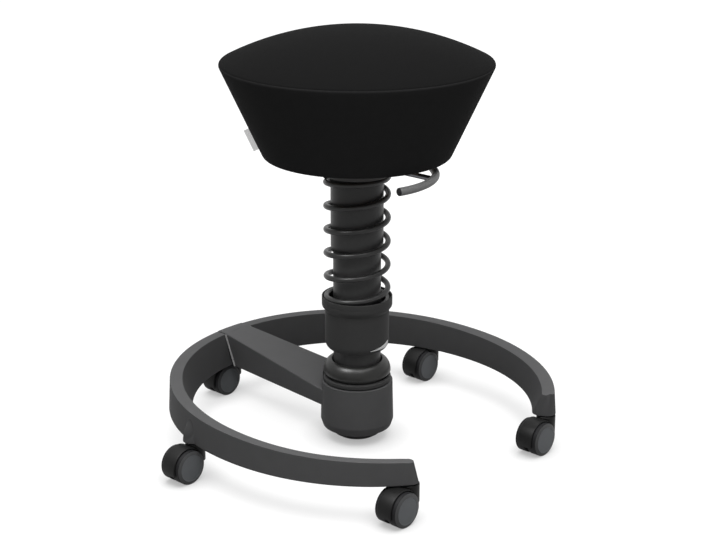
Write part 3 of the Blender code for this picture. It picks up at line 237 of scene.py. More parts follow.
def lathe(outline, closed=True, sides=SIDES):
    """An outline of (radius, height) turned about the upright axis."""
    verts = []
    rows = []
    for r, z in outline:
        if r < 1e-6:
            rows.append([len(verts)])
            verts.append((0, 0, z))
            continue
        rows.append(list(range(len(verts), len(verts) + sides)))
        for i in range(sides):
            angle = 2 * math.pi * i / sides
            verts.append((r * math.cos(angle), r * math.sin(angle), z))
    faces = []
    after = rows[1:] + (rows[:1] if closed else [])
    for low, high in zip(rows, after):
        for i in range(sides):
            j = (i + 1) % sides
            if len(low) == 1 and len(high) == 1:
                continue
            if len(low) == 1:
                faces.append((low[0], high[j], high[i]))
            elif len(high) == 1:
                faces.append((low[i], low[j], high[0]))
            else:
                faces.append((low[i], low[j], high[j], high[i]))
    return verts, faces


def loft(sections, capped=True):
    """Closed outlines with equally many points, joined one after the other."""
    count = len(sections[0])
    verts = [tuple(p) for section in sections for p in section]
    faces = []
    for k in range(len(sections) - 1):
        for i in range(count):
            j = (i + 1) % count
            a = k * count
            b = a + count
            faces.append((a + i, a + j, b + j, b + i))
    if capped:
        faces.append(tuple(reversed(range(count))))
        last = (len(sections) - 1) * count
        faces.append(tuple(range(last, last + count)))
    return verts, faces


def sweep(path, radii, sides=24):
    """A round bar along a path, its radius given point by point."""
    sections = []
    normal = None
    for i, point in enumerate(path):
        along = (path[min(i + 1, len(path) - 1)] - path[max(i - 1, 0)]).normalized()
        if normal is None:
            normal = along.orthogonal().normalized()
        normal = (normal - along * normal.dot(along)).normalized()
        side = along.cross(normal)
        ring = []
        for k in range(sides):
            angle = 2 * math.pi * k / sides
            ring.append(point + (normal * math.cos(angle) + side * math.sin(angle)) * radii[i])
        sections.append(ring)
    return loft(sections)


def round_ended(path, radius, steps=6, bulge=0.55, close=0.92):
    """The path and radii of a bar whose ends are domed down to a small flat."""
    first = (path[0] - path[1]).normalized()
    last = (path[-1] - path[-2]).normalized()
    points = []
    radii = []
    for k in range(steps):
        angle = math.pi / 2 * (1 - k / steps) * close
        points.append(path[0] + first * radius * bulge * math.sin(angle))
        radii.append(radius * math.cos(angle))
    points += path
    radii += [radius] * len(path)
    for k in range(1, steps + 1):
        angle = math.pi / 2 * k / steps * close
        points.append(path[-1] + last * radius * bulge * math.sin(angle))
        radii.append(radius * math.cos(angle))
    return points, radii


def mesh_of(name, shape, sharp=SHARP):
    verts, faces = shape
    mesh = bpy.data.meshes.new(name)
    mesh.from_pydata([tuple(v) for v in verts], [], faces)
    work = bmesh.new()
    work.from_mesh(mesh)
    bmesh.ops.remove_doubles(work, verts=work.verts, dist=1e-7)
    bmesh.ops.recalc_face_normals(work, faces=work.faces)
    work.to_mesh(mesh)
    work.free()
    mesh.shade_smooth()
    mesh.set_sharp_from_angle(angle=math.radians(sharp))
    return mesh


def add(name, mesh, finish, body, slot, *nodes):
    """A finished piece on a body, in the place of the given nodes."""
    obj = bpy.data.objects.new(name, mesh)
    scene.collection.objects.link(obj)
    if not mesh.materials:
        mesh.materials.append(finish)
    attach(obj, body)
    if nodes:
        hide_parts(*nodes)
    return obj


def add_turned(name, corners, body, slot, node, closed=True, finish=None):
    """A finished piece turned from rounded corners, closed into a ring or on the axis."""
    mesh = mesh_of(name, lathe(eased(corners, closed=closed), closed=closed))
    return add(name, mesh, finish or MATERIALS[slot], body, slot, node)


def material(name, dark, light, grain, rough, spread=0.06, bump=0.0, fine=900.0, metal=0.0,
             specular=0.5):
    """A surface whose colour and roughness vary with noise, and its relief too if bumped."""
    made = bpy.data.materials.new(name)
    made.use_nodes = True
    nodes = made.node_tree.nodes
    links = made.node_tree.links
    bsdf = nodes["Principled BSDF"]
    where = nodes.new("ShaderNodeTexCoord")
    cloud = nodes.new("ShaderNodeTexNoise")
    cloud.inputs["Scale"].default_value = grain
    cloud.inputs["Detail"].default_value = 5.0
    links.new(where.outputs["Object"], cloud.inputs["Vector"])
    tone = nodes.new("ShaderNodeMix")
    tone.data_type = "RGBA"
    tone.inputs["A"].default_value = (*dark, 1)
    tone.inputs["B"].default_value = (*light, 1)
    links.new(cloud.outputs["Fac"], tone.inputs["Factor"])
    links.new(tone.outputs["Result"], bsdf.inputs["Base Color"])
    rub = nodes.new("ShaderNodeMapRange")
    rub.inputs["To Min"].default_value = rough - spread
    rub.inputs["To Max"].default_value = rough + spread
    links.new(cloud.outputs["Fac"], rub.inputs["Value"])
    links.new(rub.outputs["Result"], bsdf.inputs["Roughness"])
    if bump:
        grit = nodes.new("ShaderNodeTexNoise")
        grit.inputs["Scale"].default_value = fine
        grit.inputs["Detail"].default_value = 3.0
        links.new(where.outputs["Object"], grit.inputs["Vector"])
        relief = nodes.new("ShaderNodeBump")
        relief.inputs["Strength"].default_value = bump
        relief.inputs["Distance"].default_value = GRIT_DEPTH
        links.new(grit.outputs["Fac"], relief.inputs["Height"])
        links.new(relief.outputs["Normal"], bsdf.inputs["Normal"])
    bsdf.inputs["Metallic"].default_value = metal
    bsdf.inputs["Specular IOR Level"].default_value = specular
    return made


def facing_up(made):
    """The upward share of a surface's normal."""
    shape = made.node_tree.nodes.new("ShaderNodeNewGeometry")
    facing = made.node_tree.nodes.new("ShaderNodeSeparateXYZ")
    made.node_tree.links.new(shape.outputs["Normal"], facing.inputs["Vector"])
    return facing.outputs["Z"]


def apply_painted_shade(made, factor, share):
    """Painted shade: bring a surface down to a share of its colour where a factor is one."""
    links = made.node_tree.links
    colour = made.node_tree.nodes["Principled BSDF"].inputs["Base Color"]
    shade = made.node_tree.nodes.new("ShaderNodeMix")
    shade.data_type = "RGBA"
    shade.blend_type = "MULTIPLY"
    shade.inputs["B"].default_value = (share, share, share, 1)
    links.new(factor, shade.inputs["Factor"])
    links.new(colour.links[0].from_socket, shade.inputs["A"])
    links.new(shade.outputs["Result"], colour)


def painted_shade_by_slope(made, start, stop, share, start_blend=0.06, stop_blend=0.15):
    """Paint shade on a surface where it faces up between two slopes."""
    curve = made.node_tree.nodes.new("ShaderNodeFloatCurve")
    points = curve.mapping.curves[0].points
    points[0].location = (0.0, 0.0)
    points[1].location = (1.0, 0.0)
    points.new(start - start_blend, 0.0)
    points.new(start + start_blend, 1.0)
    points.new(stop - stop_blend, 1.0)
    points.new(stop + stop_blend, 0.0)
    curve.mapping.update()
    made.node_tree.links.new(facing_up(made), curve.inputs["Value"])
    apply_painted_shade(made, curve.outputs["Value"], share)


def woven(name, dark, light, crown_shade_share):
    """A close black weave: crossed threads round the sides and across the crown, which painted shade keeps
    darker than the sides.
    """
    made = material(name, dark, light, 60.0, 0.9, 0.05, specular=0.02)
    nodes = made.node_tree.nodes
    links = made.node_tree.links
    bsdf = nodes["Principled BSDF"]
    where = nodes.new("ShaderNodeTexCoord")
    part = nodes.new("ShaderNodeSeparateXYZ")
    links.new(where.outputs["Object"], part.inputs["Vector"])

    def maths(kind, *values):
        node = nodes.new("ShaderNodeMath")
        node.operation = kind
        for i, value in enumerate(values):
            if isinstance(value, (int, float)):
                node.inputs[i].default_value = value
            else:
                links.new(value, node.inputs[i])
        return node.outputs[0]

    per_metre = 2 * math.pi / THREAD_PITCH
    heading = maths("ARCTAN2", part.outputs["Y"], part.outputs["X"])
    around = maths("MULTIPLY", heading, THREAD_RADIUS * per_metre)
    upward = maths("MULTIPLY", part.outputs["Z"], per_metre)
    side = maths("ADD", maths("SINE", around), maths("SINE", upward))
    along = maths("SINE", maths("MULTIPLY", part.outputs["X"], per_metre))
    across = maths("SINE", maths("MULTIPLY", part.outputs["Y"], per_metre))
    top = maths("ADD", along, across)
    share = nodes.new("ShaderNodeMapRange")
    share.interpolation_type = "SMOOTHSTEP"
    share.inputs["From Min"].default_value = 0.35
    share.inputs["From Max"].default_value = 0.55
    links.new(facing_up(made), share.inputs["Value"])
    # Painted shade: the crown is brought down to a share of the weave's colour.
    apply_painted_shade(made, share.outputs["Result"], crown_shade_share)
    height = nodes.new("ShaderNodeMix")
    links.new(share.outputs["Result"], height.inputs["Factor"])
    links.new(side, height.inputs["A"])
    links.new(top, height.inputs["B"])
    relief = nodes.new("ShaderNodeBump")
    relief.inputs["Strength"].default_value = 0.25
    relief.inputs["Distance"].default_value = 0.0001
    links.new(height.outputs["Result"], relief.inputs["Height"])
    links.new(relief.outputs["Normal"], bsdf.inputs["Normal"])
    return made


MATERIALS = {
    "ring_coat": material("ring_coat", (0.080, 0.080, 0.081), (0.095, 0.095, 0.097), 35, 0.70,
                          bump=0.12, fine=700, specular=0.05),
    "hub_coat": material("hub_coat", (0.077, 0.077, 0.078), (0.091, 0.091, 0.093), 35, 0.66,
                         bump=0.12, fine=700, specular=0.06),
    "column_black": material("column_black", (0.043, 0.043, 0.043), (0.052, 0.052, 0.052), 45, 0.60,
                             bump=0.10, fine=600, specular=0.08),
    "sleeve_black": material("sleeve_black", (0.052, 0.052, 0.052), (0.062, 0.062, 0.062), 45, 0.42,
                             bump=0.08, fine=600, specular=0.15),
    "rubber_black": material("rubber_black", (0.014, 0.014, 0.013), (0.020, 0.020, 0.019), 80, 0.36,
                             bump=0.05, fine=500, specular=0.27),
    "spring_black": material("spring_black", (0.024, 0.024, 0.024), (0.032, 0.032, 0.032), 60, 0.34,
                             bump=0.05, fine=800, specular=0.25),
    "steel": material("steel", (0.45, 0.46, 0.47), (0.58, 0.58, 0.59), 90, 0.32, metal=1.0),
    "dark_steel": material("dark_steel", (0.09, 0.09, 0.10), (0.15, 0.15, 0.16), 90, 0.40, metal=1.0),
    "hood_black": material("hood_black", (0.006, 0.006, 0.006), (0.009, 0.009, 0.009), 70, 0.46,
                           bump=0.08, fine=900, specular=0.12),
    "wheel_grey": material("wheel_grey", (0.112, 0.118, 0.124), (0.136, 0.143, 0.150), 60, 0.52,
                           bump=0.06, fine=900, specular=0.15),
    "grip_grey": material("grip_grey", (0.15, 0.15, 0.15), (0.18, 0.18, 0.18), 120, 0.50,
                          bump=0.10, fine=700, specular=0.20),
    "nylon": material("nylon", (0.55, 0.54, 0.50), (0.66, 0.65, 0.61), 50, 0.45),
    "plywood": material("plywood", (0.42, 0.29, 0.17), (0.58, 0.42, 0.26), 40, 0.60, bump=0.15),
    "foam": material("foam", (0.52, 0.50, 0.44), (0.66, 0.64, 0.58), 150, 0.90, bump=0.4),
    "tag_cloth": material("tag_cloth", (0.72, 0.72, 0.71), (0.84, 0.84, 0.83), 700, 0.85, bump=0.3),
    # Painted shade: the seat's crown at 0.24 of its colour, darker than its sides.
    "seat_fabric": woven("seat_fabric", (0.0190, 0.0190, 0.0192), (0.0230, 0.0230, 0.0232), 0.24),
}
# Painted light: the tag glows a little, though it is no lamp.
glowing_tag_surface = MATERIALS["tag_cloth"].node_tree.nodes["Principled BSDF"]
glowing_tag_surface.inputs["Emission Color"].default_value = (1, 1, 1, 1)
glowing_tag_surface.inputs["Emission Strength"].default_value = 0.30
# Painted shade: the ring's leaning inner wall, which faces partly up, is kept darker than its top.
painted_shade_by_slope(MATERIALS["ring_coat"], 0.16, 0.60, 0.68)
rim_grey = material("rim_grey", (0.056, 0.056, 0.057), (0.074, 0.075, 0.077), 60, 0.52,
                    bump=0.05, fine=600, specular=0.12)
tread_black = material("tread_black", (0.008, 0.008, 0.009), (0.013, 0.013, 0.014), 90, 0.62,
                       bump=0.1, fine=800, specular=0.12)
# Painted light: a lighter copy of column_black for the spring plate, lifting it out of the seat's shadow.
plate_painted_light = material("plate_painted_light", (0.055, 0.055, 0.055), (0.068, 0.068, 0.068), 45, 0.46,
                       bump=0.1, fine=600, specular=0.15)
# Painted highlight: a light grey for the beads, far lighter than the hub's coat.
bead_painted_highlight = material("bead_painted_highlight", (0.24, 0.24, 0.24), (0.30, 0.30, 0.30), 200, 0.50,
                     bump=0.1, fine=700)
mark_pale = material("mark_pale", (0.78, 0.78, 0.78), (0.86, 0.86, 0.86), 300, 0.5)

for entry in frame["record"]["subparts"]:
    node = frame["nodes"][entry["node"]]
    finish = MATERIALS[entry["material_slot"]]
    if not node.material_slots:
        node.data.materials.append(finish)
    for place in node.material_slots:
        place.material = finish


def signed_power(value, power):
    return math.copysign(abs(value) ** power, value)


def ring_point(angle, inset, z):
    """A point on the ring's plan, the angle in degrees from the arm."""
    a = math.radians(angle)
    power = 2 / RING_POWER
    return Vector(((RING_HALF_X - inset) * signed_power(math.sin(a), power),
                   (RING_HALF_Y - inset) * signed_power(math.cos(a), power) + RING_BEHIND, z))


def ring_rear(x, inset, z):
    """The same plan near the arm, where a section has one x all through."""
    y = (1 - (abs(x) / (RING_HALF_X - inset)) ** RING_POWER) ** (1 / RING_POWER)
    return Vector((x, (RING_HALF_Y - inset) * y + RING_BEHIND, z))


def ramp(value, start, stop):
    t = max(0.0, min(1.0, (value - start) / (stop - start)))
    return t * t * (3 - 2 * t)


def ring_height(angle):
    low = math.cos(math.radians(RING_END))
    share = max(0.0, (math.cos(math.radians(angle)) - low) / (1 - low))
    height = RING_END_HEIGHT + (RING_TOP - RING_LOW - RING_END_HEIGHT) * share ** RING_FADE
    return height + RING_END_LIFT * ramp(abs(angle), LIFT_START, RING_END)


def ring_dip(angle):
    """How much lower the top's inner edge lies than its outer one."""
    return RING_DIP * ramp(abs(angle), DIP_START, DIP_STOP)


def band_outline(height, drop=0.0, dip=0.0):
    """The band's section as (inset, rise): upright outer wall, leaning inner wall."""
    outer = []
    steps = 12
    for k in range(1, steps):
        share = k / steps
        outer.append((RING_OUTER_LEAN * share, height * share, 0))
    corners = [(0, 0, RING_EDGE)] + outer
    corners += [(RING_OUTER_LEAN, height, RING_EDGE), (RING_TOP_INNER, height - dip, RING_INNER_EDGE),
                (RING_FOOT_INNER, 0, RING_EDGE)]
    points = eased(corners)
    if drop:
        points = [Vector((p.x, min(p.y, height - drop))) for p in points]
    return points


def boss_bulge(along, rise):
    """How far the wall stands out for a caster's socket at this place."""
    level = max(0.0, rise / BOSS_HEIGHT)
    if level > 1:
        return 0.0
    if abs(along) < BOSS_RADIUS:
        out = math.sqrt(BOSS_RADIUS ** 2 - along ** 2) - BOSS_INSET
    else:
        out = -BOSS_INSET - 2 * (abs(along) - BOSS_RADIUS)
    out -= (BOSS_RADIUS - BOSS_INSET) * level ** BOSS_TAPER
    return max(0.0, 0.5 * (out + math.sqrt(out * out + BOSS_BLEND * BOSS_BLEND)) - 0.0001)


def boss_angles():
    """The three angles at which a socket boss stands on the outer wall."""
    found = [0.0]
    for name in ("left", "right"):
        x, y = CASTERS[name]
        stem = Vector((abs(x), y))
        best = min(range(0, 1800), key=lambda k: (ring_point(k / 10, STEM_INSET, 0).xy - stem).length)
        found.append(math.copysign(best / 10, x))
    return found


def ring_band():
    """The open band: sections across the rear by x, round the sides by angle, and two ends."""
    bosses = boss_angles()
    edge = NOTCH_HALF
    stations = [-REAR_HALF, -0.036, -0.031, -edge - 1e-5, -edge]
    stations += [-0.0255, -0.022, -0.018, -0.0155] + [k * 0.0009 for k in range(-16, 17)]
    stations += [0.0155, 0.018, 0.022, 0.0255, edge, edge + 1e-5, 0.031, 0.036, REAR_HALF]
    side = []
    angle = SIDE_START
    while angle < RING_END - 0.01:
        side.append(angle)
        near = min(abs(angle - abs(b)) for b in bosses[1:])
        angle += 0.22 if near < 4.0 else 1.0
    end_cut = math.degrees(END_START / RING_PER_DEGREE)
    side = [a for a in side if a < RING_END - end_cut - 0.3]

    def placed(points, along, where):
        made = []
        for p in points:
            inset = p.x
            if inset < RING_OUTER_LEAN + 0.003:
                inset -= boss_bulge(along, p.y)
            made.append(where(inset, RING_LOW + p.y))
        return made

    def side_section(angle):
        points = band_outline(ring_height(angle), dip=ring_dip(angle))
        near = min(bosses, key=lambda b: abs(angle - b))
        along = math.radians(angle - near) * RING_HALF_X
        return placed(points, along, lambda i, z: ring_point(angle, i, z))

    def end_sections(sign):
        """The rounded end over a front caster, its foot past its top."""
        made = []
        outline = band_outline(ring_height(RING_END), dip=ring_dip(RING_END))
        rise = max(p.y for p in outline)
        for k in range(END_STEPS + 1):
            bend = math.radians(90 * k / END_STEPS)
            ring = []
            for p in outline:
                share = p.y / rise
                outer = RING_OUTER_LEAN * share
                inner = RING_FOOT_INNER + (RING_TOP_INNER - RING_FOOT_INNER) * share
                radius = END_ROUND * (inner - outer)
                middle = (outer + inner) / 2
                squeeze = radius * (1 - math.cos(bend)) * (middle - p.x) / ((inner - outer) / 2)
                reach = END_REACH - END_SLANT * share - radius * (1 - math.sin(bend))
                angle = RING_END + math.degrees(reach / RING_PER_DEGREE)
                ring.append(ring_point(sign * angle, p.x + squeeze, RING_LOW + p.y))
            made.append(ring)
        return made

    sections = list(reversed(end_sections(-1)))
    sections += [side_section(-a) for a in reversed(side)]
    for x in stations:
        angle = math.degrees(math.asin(min(1, abs(x) / RING_HALF_X)))
        drop = NOTCH_DEPTH if abs(x) <= edge else 0.0
        points = band_outline(ring_height(angle), drop)
        sections.append(placed(points, x, lambda i, z, x=x: ring_rear(x, i, z)))
    sections += [side_section(a) for a in side]
    sections += end_sections(1)
    return loft(sections)


def hub_arm():
    """The cast hub with a saddle on top, its arm, the tongue in the ring and a bead on each side."""
    outline = eased([(HUB_MOUTH, HUB_TOP, 0.0004), (HUB_TOP_RADIUS, HUB_TOP, 0.0006),
                     (HUB_FOOT_RADIUS, HUB_FOOT_HEIGHT, 0.0040), (0.0525, 0.0200, 0.0030),
                     (0.0425, 0.0152, 0.0008), (0.0412, HUB_UNDER, 0.0006), (HUB_DRAIN, HUB_UNDER, 0.0004),
                     (HUB_DRAIN, HUB_FLOOR, 0), (HUB_BORE, HUB_FLOOR, 0), (HUB_BORE, HUB_LEDGE, 0),
                     (HUB_MOUTH, HUB_LEDGE, 0)])
    hub = mesh_of("hub_body", lathe(outline))

    def box_outline(half, low, high):
        columns = 14
        spread = [half * (2 * k / columns - 1) for k in range(1, columns)]
        corners = [(-half, low, ARM_LOW_EDGE)] + [(x, low, 0) for x in spread]
        corners += [(half, low, ARM_LOW_EDGE), (half, high, ARM_TOP_EDGE)]
        corners += [(x, high, 0) for x in reversed(spread)]
        corners += [(-half, high, ARM_TOP_EDGE)]
        return eased(corners)

    def hub_radius(z):
        share = (z - HUB_FOOT_HEIGHT) / (HUB_TOP - HUB_FOOT_HEIGHT)
        return HUB_FOOT_RADIUS + (HUB_TOP_RADIUS - HUB_FOOT_RADIUS) * share

    def inner_inset(z):
        share = (z - RING_LOW) / (RING_TOP - RING_LOW)
        return RING_FOOT_INNER + (RING_TOP_INNER - RING_FOOT_INNER) * share

    root = box_outline(ARM_HUB_HALF, ARM_LOW, ARM_HUB_TOP)
    wall = box_outline(ARM_RING_HALF, ARM_LOW, PLATE_TOP)
    sections = []
    count = 24
    for k in range(count + 1):
        t = k / count
        ring = []
        for a, b in zip(root, wall):
            start = math.sqrt(hub_radius(a.y) ** 2 - a.x ** 2) - ROOT_DEEP
            stop = ring_rear(b.x, inner_inset(b.y), 0).y - ARM_SEAM
            ring.append(Vector((a.x + (b.x - a.x) * t, start + (stop - start) * t,
                                a.y + (b.y - a.y) * t)))
        sections.append(ring)
    arm = mesh_of("arm_body", loft(sections))

    tongue_sections = []
    columns = 20
    for k in range(columns + 1):
        x = TONGUE_HALF * (2 * k / columns - 1)
        pinch = 0.0004 if k in (0, columns) else 0.0
        low = RING_TOP - TONGUE_DEEP
        corners = eased([(0.0035, low, 0.0003), (0.0035, PLATE_TOP, 0.0009),
                         (0.0227, PLATE_TOP, 0.0001), (0.0245, low, 0.0002)], steps=3)
        tongue_sections.append([ring_rear(x, p.x, min(p.y, PLATE_TOP - pinch)) for p in corners])
    tongue = mesh_of("tongue_body", loft(tongue_sections))

    saddle_sections = []
    steps = 60
    for k in range(steps + 1):
        angle = math.radians(30 + 120 * k / steps)
        top = HUB_TOP + SADDLE_RISE * math.sin(math.pi * k / steps) + 0.0004
        corners = eased([(SADDLE_INNER, HUB_TOP - SADDLE_SUNK, 0), (SADDLE_OUTER, HUB_TOP - SADDLE_SUNK, 0),
                         (SADDLE_OUTER, top, 0.0007), (SADDLE_INNER, top, 0.0004)], steps=3)
        saddle_sections.append([(p.x * math.cos(angle), p.x * math.sin(angle), p.y) for p in corners])
    saddle = mesh_of("saddle_body", loft(saddle_sections))
    beads = []
    for sign in (-1, 1):
        path = []
        for k in range(17):
            t = k / 16
            z = ARM_LOW + 0.0014 + (RING_TOP - ARM_LOW - 0.0024) * t
            edge = ring_rear(sign * ARM_RING_HALF, inner_inset(z), z)
            away = 0.0010 + 0.0060 * (1 - t)
            path.append(edge + Vector((sign * (0.0007 + 0.113 * away), -away, 0)))
        points, radii = round_ended(path, BEAD_RADIUS)
        beads.append(mesh_of("bead", sweep(points, radii, 12)))
    whole = [hub, arm, tongue, saddle]
    plain = sum(len(mesh.polygons) for mesh in whole)
    casting = joined("hub_arm_cast", whole + beads)
    casting.materials.append(MATERIALS["hub_coat"])
    # Painted highlight: the beads' faces take the light grey.
    casting.materials.append(bead_painted_highlight)
    for face in casting.polygons[plain:]:
        face.material_index = 1
    return casting


def joined(name, meshes):
    """One mesh out of several closed ones, set into each other."""
    work = bmesh.new()
    for mesh in meshes:
        work.from_mesh(mesh)
    made = bpy.data.meshes.new(name)
    work.to_mesh(made)
    work.free()
    made.shade_smooth()
    made.set_sharp_from_angle(angle=math.radians(SHARP))
    for mesh in meshes:
        bpy.data.meshes.remove(mesh)
    return made


def combined(name, first, steps):
    """A mesh after Boolean steps, each an operation and the mesh it uses."""
    base = bpy.data.objects.new(name + "_base", first)
    scene.collection.objects.link(base)
    others = []
    for operation, mesh in steps:
        other = bpy.data.objects.new(name + "_step", mesh)
        scene.collection.objects.link(other)
        others.append(other)
        step = base.modifiers.new("step", "BOOLEAN")
        step.operation = operation
        step.solver = "EXACT"
        step.object = other
    bpy.context.view_layer.update()
    graph = bpy.context.evaluated_depsgraph_get()
    made = bpy.data.meshes.new_from_object(base.evaluated_get(graph))
    made.name = name
    for obj in [base] + others:
        mesh = obj.data
        bpy.data.objects.remove(obj)
        bpy.data.meshes.remove(mesh)
    made.shade_smooth()
    made.set_sharp_from_angle(angle=math.radians(30))
    return made


LYING = Matrix.Rotation(math.radians(-90), 4, "X")


def lying(shape, sharp=SHARP):
    """A turned shape laid along the axle, its top towards +Y."""
    mesh = mesh_of("lying", shape, sharp)
    mesh.transform(LYING)
    return mesh


def caster_rod(radius, low, high, sides=CASTER_SIDES):
    """A plain round bar on the upright axis."""
    return lathe([(0, low), (radius, low), (radius, high), (0, high)], closed=False, sides=sides)


def caster_hood():
    """A drum over both wheels with a web between them, and a neck round the stem."""
    outline = eased([(0, -HOOD_HALF, 0), (HOOD_RADIUS, -HOOD_HALF, 0.0014),
                     (HOOD_RADIUS, HOOD_HALF, 0.0014), (0, HOOD_HALF, 0)], closed=False)
    drum = lying(lathe(outline, closed=False, sides=CASTER_SIDES))
    outline = eased([(0, -0.0031, 0), (0.0109, -0.0031, 0.002), (NECK_RADIUS, 0.0005, 0.001),
                     (NECK_RADIUS, HOOD_RADIUS, 0.0012), (0, HOOD_RADIUS, 0)], closed=False)
    neck = mesh_of("neck", lathe(outline, closed=False, sides=CASTER_SIDES))
    neck.transform(Matrix.Translation((TRAIL, 0, 0)))
    steps = [("UNION", neck)]
    for sign in (-1, 1):
        well = lying(caster_rod(WELL_RADIUS, WEB_HALF, 0.0300))
        if sign < 0:
            well.transform(Matrix.Rotation(math.pi, 4, "Z"))
        steps.append(("DIFFERENCE", well))
    high = HOOD_UNDER - AXLE_HEIGHT
    low = HOOD_CLEAR - AXLE_HEIGHT
    stair = [(-BEYOND, -BEYOND), (BEYOND, -BEYOND), (BEYOND, low), (HOOD_STEP, low), (HOOD_STEP, high),
             (-BEYOND, high)]
    under = mesh_of("under", loft([[(x, y, z) for x, z in stair] for y in (-BEYOND, BEYOND)]))
    steps.append(("DIFFERENCE", under))
    bore = mesh_of("bore", caster_rod(STEM_BORE, -0.010, 0.04, 48))
    bore.transform(Matrix.Translation((TRAIL, 0, 0)))
    steps.append(("DIFFERENCE", bore))
    steps.append(("DIFFERENCE", lying(caster_rod(AXLE_RADIUS, -0.02, 0.02, 32))))
    return combined("caster_hood", drum, steps)


def caster_wheel():
    """A wheel with a dark tread, a bevelled rim and a flat disc, facing +Y."""
    outline = [(0.0, WHEEL_HOLE_END), (AXLE_RADIUS, WHEEL_HOLE_END), (AXLE_RADIUS, WHEEL_INNER)]
    outline += eased([(AXLE_RADIUS, WHEEL_INNER, 0), (WHEEL_RADIUS, WHEEL_INNER, 0.0010),
                      (WHEEL_RADIUS, 0.0180, 0.0006), (0.0200, WHEEL_FACE, 0.0007),
                      (0.0194, WHEEL_FACE, 0.0002), (0.0190, 0.0195, 0.0002), (0.0186, 0.0197, 0.0002),
                      (0.0100, 0.0199, 0.0020), (0.0, WHEEL_FACE, 0)], closed=False, steps=4)[1:]
    mesh = lying(lathe(outline, closed=False, sides=CASTER_SIDES), sharp=50)
    for finish in (MATERIALS["wheel_grey"], tread_black, rim_grey):
        mesh.materials.append(finish)
    for face in mesh.polygons:
        centre = face.center
        radius = math.hypot(centre.x, centre.z)
        if radius > TREAD_FROM or centre.y < WHEEL_HOLE_END:
            face.material_index = 1
        elif radius > RIM_FROM:
            face.material_index = 2
    return mesh


def add_casters():
    hood = caster_hood()
    wheel = caster_wheel()
    turned_wheel = wheel.copy()
    turned_wheel.transform(Matrix.Rotation(math.pi, 4, "Z"))
    for name, (x, y) in CASTERS.items():
        pieces = [("hood_" + name, hood, "caster_" + name, "hood_black", "caster_hood_" + name)]
        for label, mesh in (("a", turned_wheel), ("b", wheel)):
            body = "wheel_%s_%s" % (name, label)
            pieces.append((body, mesh, body, "wheel_grey", "caster_" + body))
        for piece, mesh, body, slot, node in pieces:
            mine = mesh.copy()
            mine.transform(Matrix.Translation((x - TRAIL, y, AXLE_HEIGHT)))
            add(piece, mine, MATERIALS[slot], body, slot, node)
    for mesh in (hood, wheel, turned_wheel):
        bpy.data.meshes.remove(mesh)


def collar_radius(z):
    """The collar's outer radius at a height on its body."""
    below = COLLAR_LOW + COLLAR_CURVE_UP - z
    if below <= 0:
        return COLLAR_RADIUS
    return COLLAR_RADIUS - COLLAR_CURVE_IN * (1 - math.sqrt(max(0.0, 1 - (below / COLLAR_CURVE_UP) ** 2)))


def collar_cup():
    """The cup: a curved bottom, a groove, the flared rim, and inside a ledge for the spring."""
    outline = [Vector((COLLAR_BORE, COLLAR_LOW))]
    for k in range(13):
        angle = math.radians(90 * k / 12)
        r = COLLAR_RADIUS - COLLAR_CURVE_IN * (1 - math.sin(angle))
        outline.append(Vector((r, COLLAR_LOW + COLLAR_CURVE_UP * (1 - math.cos(angle)))))
    outline += eased([(COLLAR_RADIUS, 0.1600, 0), (COLLAR_RADIUS, 0.2075, 0.0003),
                      (0.0484, 0.2079, 0.0002), (COLLAR_RADIUS, 0.2083, 0.0006), (0.0530, 0.2145, 0.0020),
                      (COLLAR_RIM, 0.2164, 0.0010), (COLLAR_RIM, 0.2206, 0.0003), (0.0532, 0.2210, 0.0002),
                      (COLLAR_RIM, 0.2214, 0.0003), (COLLAR_RIM, COLLAR_TOP, 0.0009),
                      (COLLAR_MOUTH, COLLAR_TOP, 0.0006), (COLLAR_MOUTH, COLLAR_LEDGE, 0.0004),
                      (0.0483, COLLAR_LEDGE, 0.0004), (0.0483, COLLAR_STEP, 0.0003),
                      (0.0447, COLLAR_STEP, 0.0003), (0.0447, 0.1710, 0.0003),
                      (COLLAR_BORE, 0.1710, 0.0003)], closed=False, steps=4)
    return lathe(outline)


def collar_mark():
    """A plain tapered wedge lying on the collar's side."""
    columns = 24
    rows = 4
    grid = []
    for level in (0.0003, -0.0004):
        for i in range(columns + 1):
            t = i / columns
            angle = math.radians(MARK_START + MARK_SPAN * t)
            low = 0.1541 - 0.0012 * t
            high = 0.1546 + 0.0082 * t ** 1.25
            for k in range(rows + 1):
                z = low + (high - low) * k / rows
                r = collar_radius(z) + level
                grid.append((r * math.cos(angle), r * math.sin(angle), z))
    wide = rows + 1
    half = (columns + 1) * wide
    faces = []
    for base, flip in ((0, False), (half, True)):
        for i in range(columns):
            for k in range(rows):
                a = base + i * wide + k
                quad = (a, a + wide, a + wide + 1, a + 1)
                faces.append(tuple(reversed(quad)) if flip else quad)
    border = [i * wide for i in range(columns + 1)]
    border += [columns * wide + k for k in range(1, wide)]
    border += [i * wide + rows for i in range(columns - 1, -1, -1)]
    border += list(range(rows - 1, 0, -1))
    for a, b in zip(border, border[1:] + border[:1]):
        faces.append((a, b, b + half, a + half))
    return grid, faces


